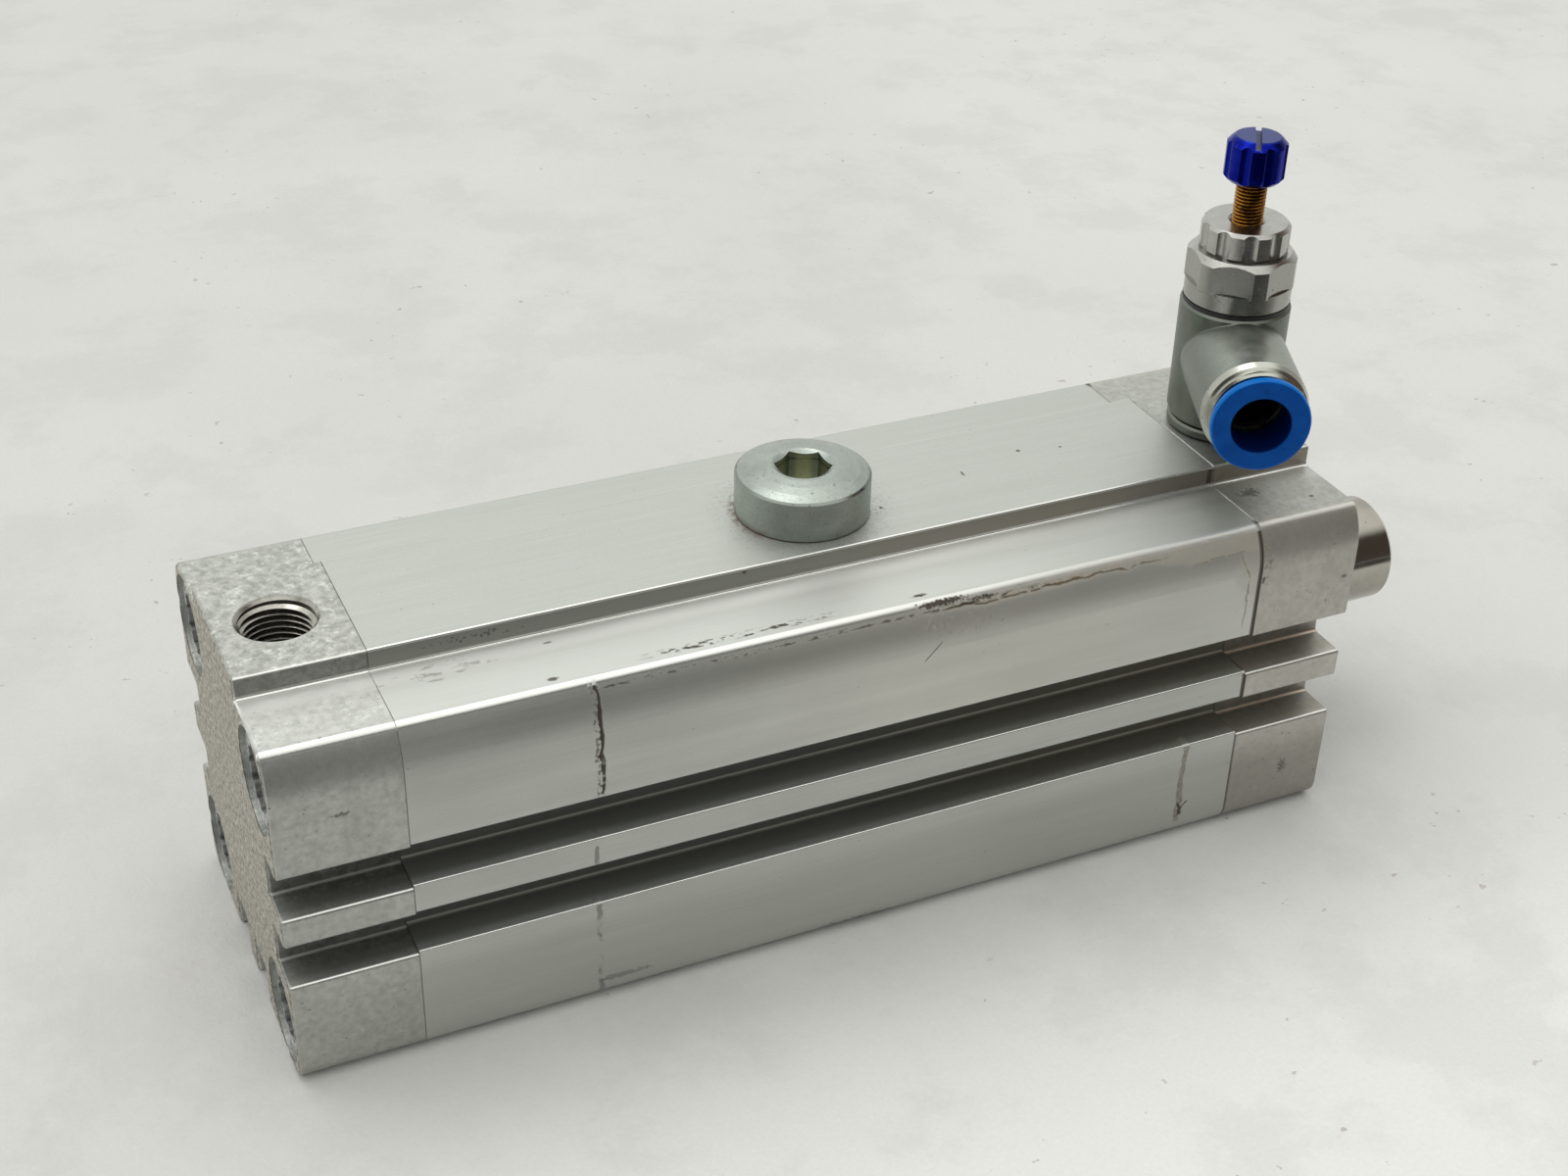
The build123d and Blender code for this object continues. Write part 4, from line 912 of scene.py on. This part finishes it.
def rod_thread(looks):
    """Inside thread in the end of the rod."""
    mount = MOUNTS["rod_end_thread"]
    wall_r = mount["dims"]["r_mm"] * MM
    depth, pitch, mouth_bevel = 0.8 * MM, 1.5 * MM, 1.2 * MM
    length = mount["dims"]["length_mm"] * MM - 0.5 * MM
    points, faces = thread_ridge(wall_r, wall_r - depth, pitch, length)
    place = Matrix.Translation((ROD_END - mouth_bevel, 0, 0)) @ AGAINST_X
    piece = new_piece("rod_end_thread", placed(points, place), faces)
    return dress(piece, "rod", "rod_chrome", looks)


def stem_thread(looks):
    """The brass adjusting stem with its fine thread."""
    crest_r = (STEM_HIGH.x - STEM_LOW.x) / 2
    depth, pitch, inside_knob = 0.27 * MM, 0.5 * MM, 0.5 * MM
    top = KNOB_LOW.z + inside_knob
    points, faces = threaded_bar(crest_r, crest_r - depth, pitch, STEM_LOW.z, top)
    place = Matrix.Translation((VALVE_X, 0, 0))
    piece = new_piece("adjusting_stem_thread", placed(points, place), faces, math.radians(60))
    dress(piece, "knob", "brass_screw", looks)
    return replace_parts(piece, "adjusting_stem")


# ---- studio ----
def floor_sheet():
    """Pale paper with faint creases, fibres and a few crumbs."""
    reach = 3.0
    z = FLOOR_Z - 0.02 * MM
    corners = [(-reach, -reach, z), (reach, -reach, z), (reach, reach, z), (-reach, reach, z)]
    piece = new_piece("paper_floor", corners, [(0, 1, 2, 3)])
    s = Surface("paper")
    cloud = s.noise(0.012, 4.0)
    fibre = s.noise(1.2, 5.0)
    colour = s.mix(s.spread(cloud, 0, 1), (0.745, 0.745, 0.728), (0.80, 0.80, 0.785))
    # Painted light on the paper in front of the object and to its right, lifting the shade there.
    colour = s.over(colour, s.fade_mm(s.y, -20, -85), 0.95, (0.97, 0.975, 0.96))
    colour = s.over(colour, s.fade_mm(s.x, 150, 260), 0.30, (0.93, 0.93, 0.91))
    grey = s.fade(s.noise(0.035, 7.0, shift=8.0, rough=0.68), 0.46, 0.62)
    colour = s.over(colour, grey, 0.16, (0.52, 0.505, 0.49))
    sand = s.noise(1.6, 3.0, shift=6.0)
    colour = s.mix(s.spread(sand, 0.0, 0.10), colour, (0.55, 0.54, 0.52))
    crumbs = s.fade(s.noise(0.42, 2.0, shift=3.0), 0.715, 0.735)
    crumbs = s.both(crumbs, s.fade(s.noise(0.02, 2.0, shift=5.0), 0.52, 0.60))
    colour = s.over(colour, crumbs, 0.45, (0.36, 0.25, 0.20))
    crease = s.bump(s.noise(0.06, 6.0, (1, 0.6, 1), rough=0.62), 2.2, 0.5)
    relief = s.bump(fibre, 0.09, 0.5, crease)
    piece.data.materials.append(s.finish(colour, 0.9, 0.0, relief, Specular_IOR_Level=0.15))


def soft_light(name, place, target, size, power, colour):
    light = bpy.data.lights.new(name, "AREA")
    light.shape = "RECTANGLE"
    light.size, light.size_y = size
    light.energy = power
    light.color = colour
    lamp = bpy.data.objects.new(name, light)
    lamp.location = place
    lamp.rotation_euler = (Vector(target) - Vector(place)).to_track_quat("-Z", "Y").to_euler()
    bpy.context.scene.collection.objects.link(lamp)


def room():
    """A bright wall behind, a bright ceiling, and a dim room in front that is warmer to the right."""
    world = bpy.data.worlds.new("room")
    bpy.context.scene.world = world
    world.use_nodes = True
    tree = world.node_tree
    background = tree.nodes["Background"]

    def node(kind, inputs, **settings):
        made = tree.nodes.new(kind)
        for key, value in settings.items():
            setattr(made, key, value)
        for key, value in inputs.items():
            if isinstance(value, bpy.types.NodeSocket):
                tree.links.new(value, made.inputs[key])
            else:
                made.inputs[key].default_value = value
        return made.outputs[0]

    def fade(value, start, end):
        inputs = {"Value": value, "From Min": start, "From Max": end}
        return node("ShaderNodeMapRange", inputs, interpolation_type="SMOOTHSTEP")

    def mix(amount, first, second):
        return node("ShaderNodeMixRGB", {"Fac": amount, "Color1": first, "Color2": second})

    direction = tree.nodes.new("ShaderNodeTexCoord").outputs["Generated"]
    split = tree.nodes.new("ShaderNodeSeparateXYZ")
    tree.links.new(direction, split.inputs[0])
    x, y, z = split.outputs
    path = tree.nodes.new("ShaderNodeLightPath")
    colour = mix(fade(x, 0.45, 0.85), (0.075, 0.077, 0.070, 1), (0.16, 0.10, 0.065, 1))
    colour = mix(fade(y, -0.15, 0.30), colour, (0.92, 0.94, 0.90, 1))
    colour = mix(path.outputs["Is Diffuse Ray"], colour, (0.42, 0.42, 0.405, 1))
    colour = mix(fade(z, 0.62, 0.80), colour, (1.22, 1.23, 1.18, 1))
    colour = mix(fade(x, 0.50, 0.85), colour, mix(0.4, colour, (0.10, 0.08, 0.06, 1)))
    colour = mix(path.outputs["Is Camera Ray"], colour, (0.70, 0.70, 0.67, 1))
    tree.links.new(colour, background.inputs["Color"])
    background.inputs["Strength"].default_value = 1.0


def dark_card():
    """Black studio flag on the near side, which only reflections see: a dark sheet standing in for the
    dim room in front.
    """
    front, back, left, right = -1.2, -0.115, -1.0, 1.2
    z = FLOOR_Z + 0.5 * MM
    corners = [(left, front, z), (right, front, z), (right, back, z), (left, back, z)]
    piece = new_piece("dark_card", corners, [(0, 1, 2, 3)])
    s = Surface("black_cloth")
    weave = s.noise(1.0, 2.0)
    colour = s.mix(weave, (0.04, 0.038, 0.034), (0.08, 0.074, 0.066))
    piece.data.materials.append(s.finish(colour, 0.9, 0.0))
    piece.visible_camera = False
    piece.visible_diffuse = False
    piece.visible_shadow = False


def camera():
    """Looks down on the near side from the rear, as a hand-held phone would."""
    data = bpy.data.cameras.new("camera")
    data.sensor_width = 36.0
    data.lens = 51.16
    data.clip_start = 0.01
    eye = bpy.data.objects.new("camera", data)
    eye.location = (-0.03240, -0.23291, 0.17827)
    eye.rotation_euler = Euler([math.radians(angle) for angle in (57.725, -1.276, -24.287)])
    bpy.context.scene.collection.objects.link(eye)
    bpy.context.scene.camera = eye


# ---- the scene ----
looks = finishes()
for node in NODES.values():
    slot_name = node.material_slots[0].material.name
    node.material_slots[0].material = looks[slot_name]

port_thread(looks)
screw_threads(looks, "rear_screw_threads", "rear_screw_thread_turns", -1)
screw_threads(looks, "front_screw_threads", "front_screw_thread_turns", 1)
rod_thread(looks)
stem_thread(looks)

floor_sheet()
room()
centre = (BARREL_LOW + BARREL_HIGH) / 2
soft_light(
    "ceiling_light", place=(-0.05, 0.28, 0.92), target=centre, size=(0.7, 0.30), power=1.2,
    colour=(1.0, 0.995, 0.98),
)
dark_card()
camera()
bpy.context.scene.view_settings.view_transform = "Standard"
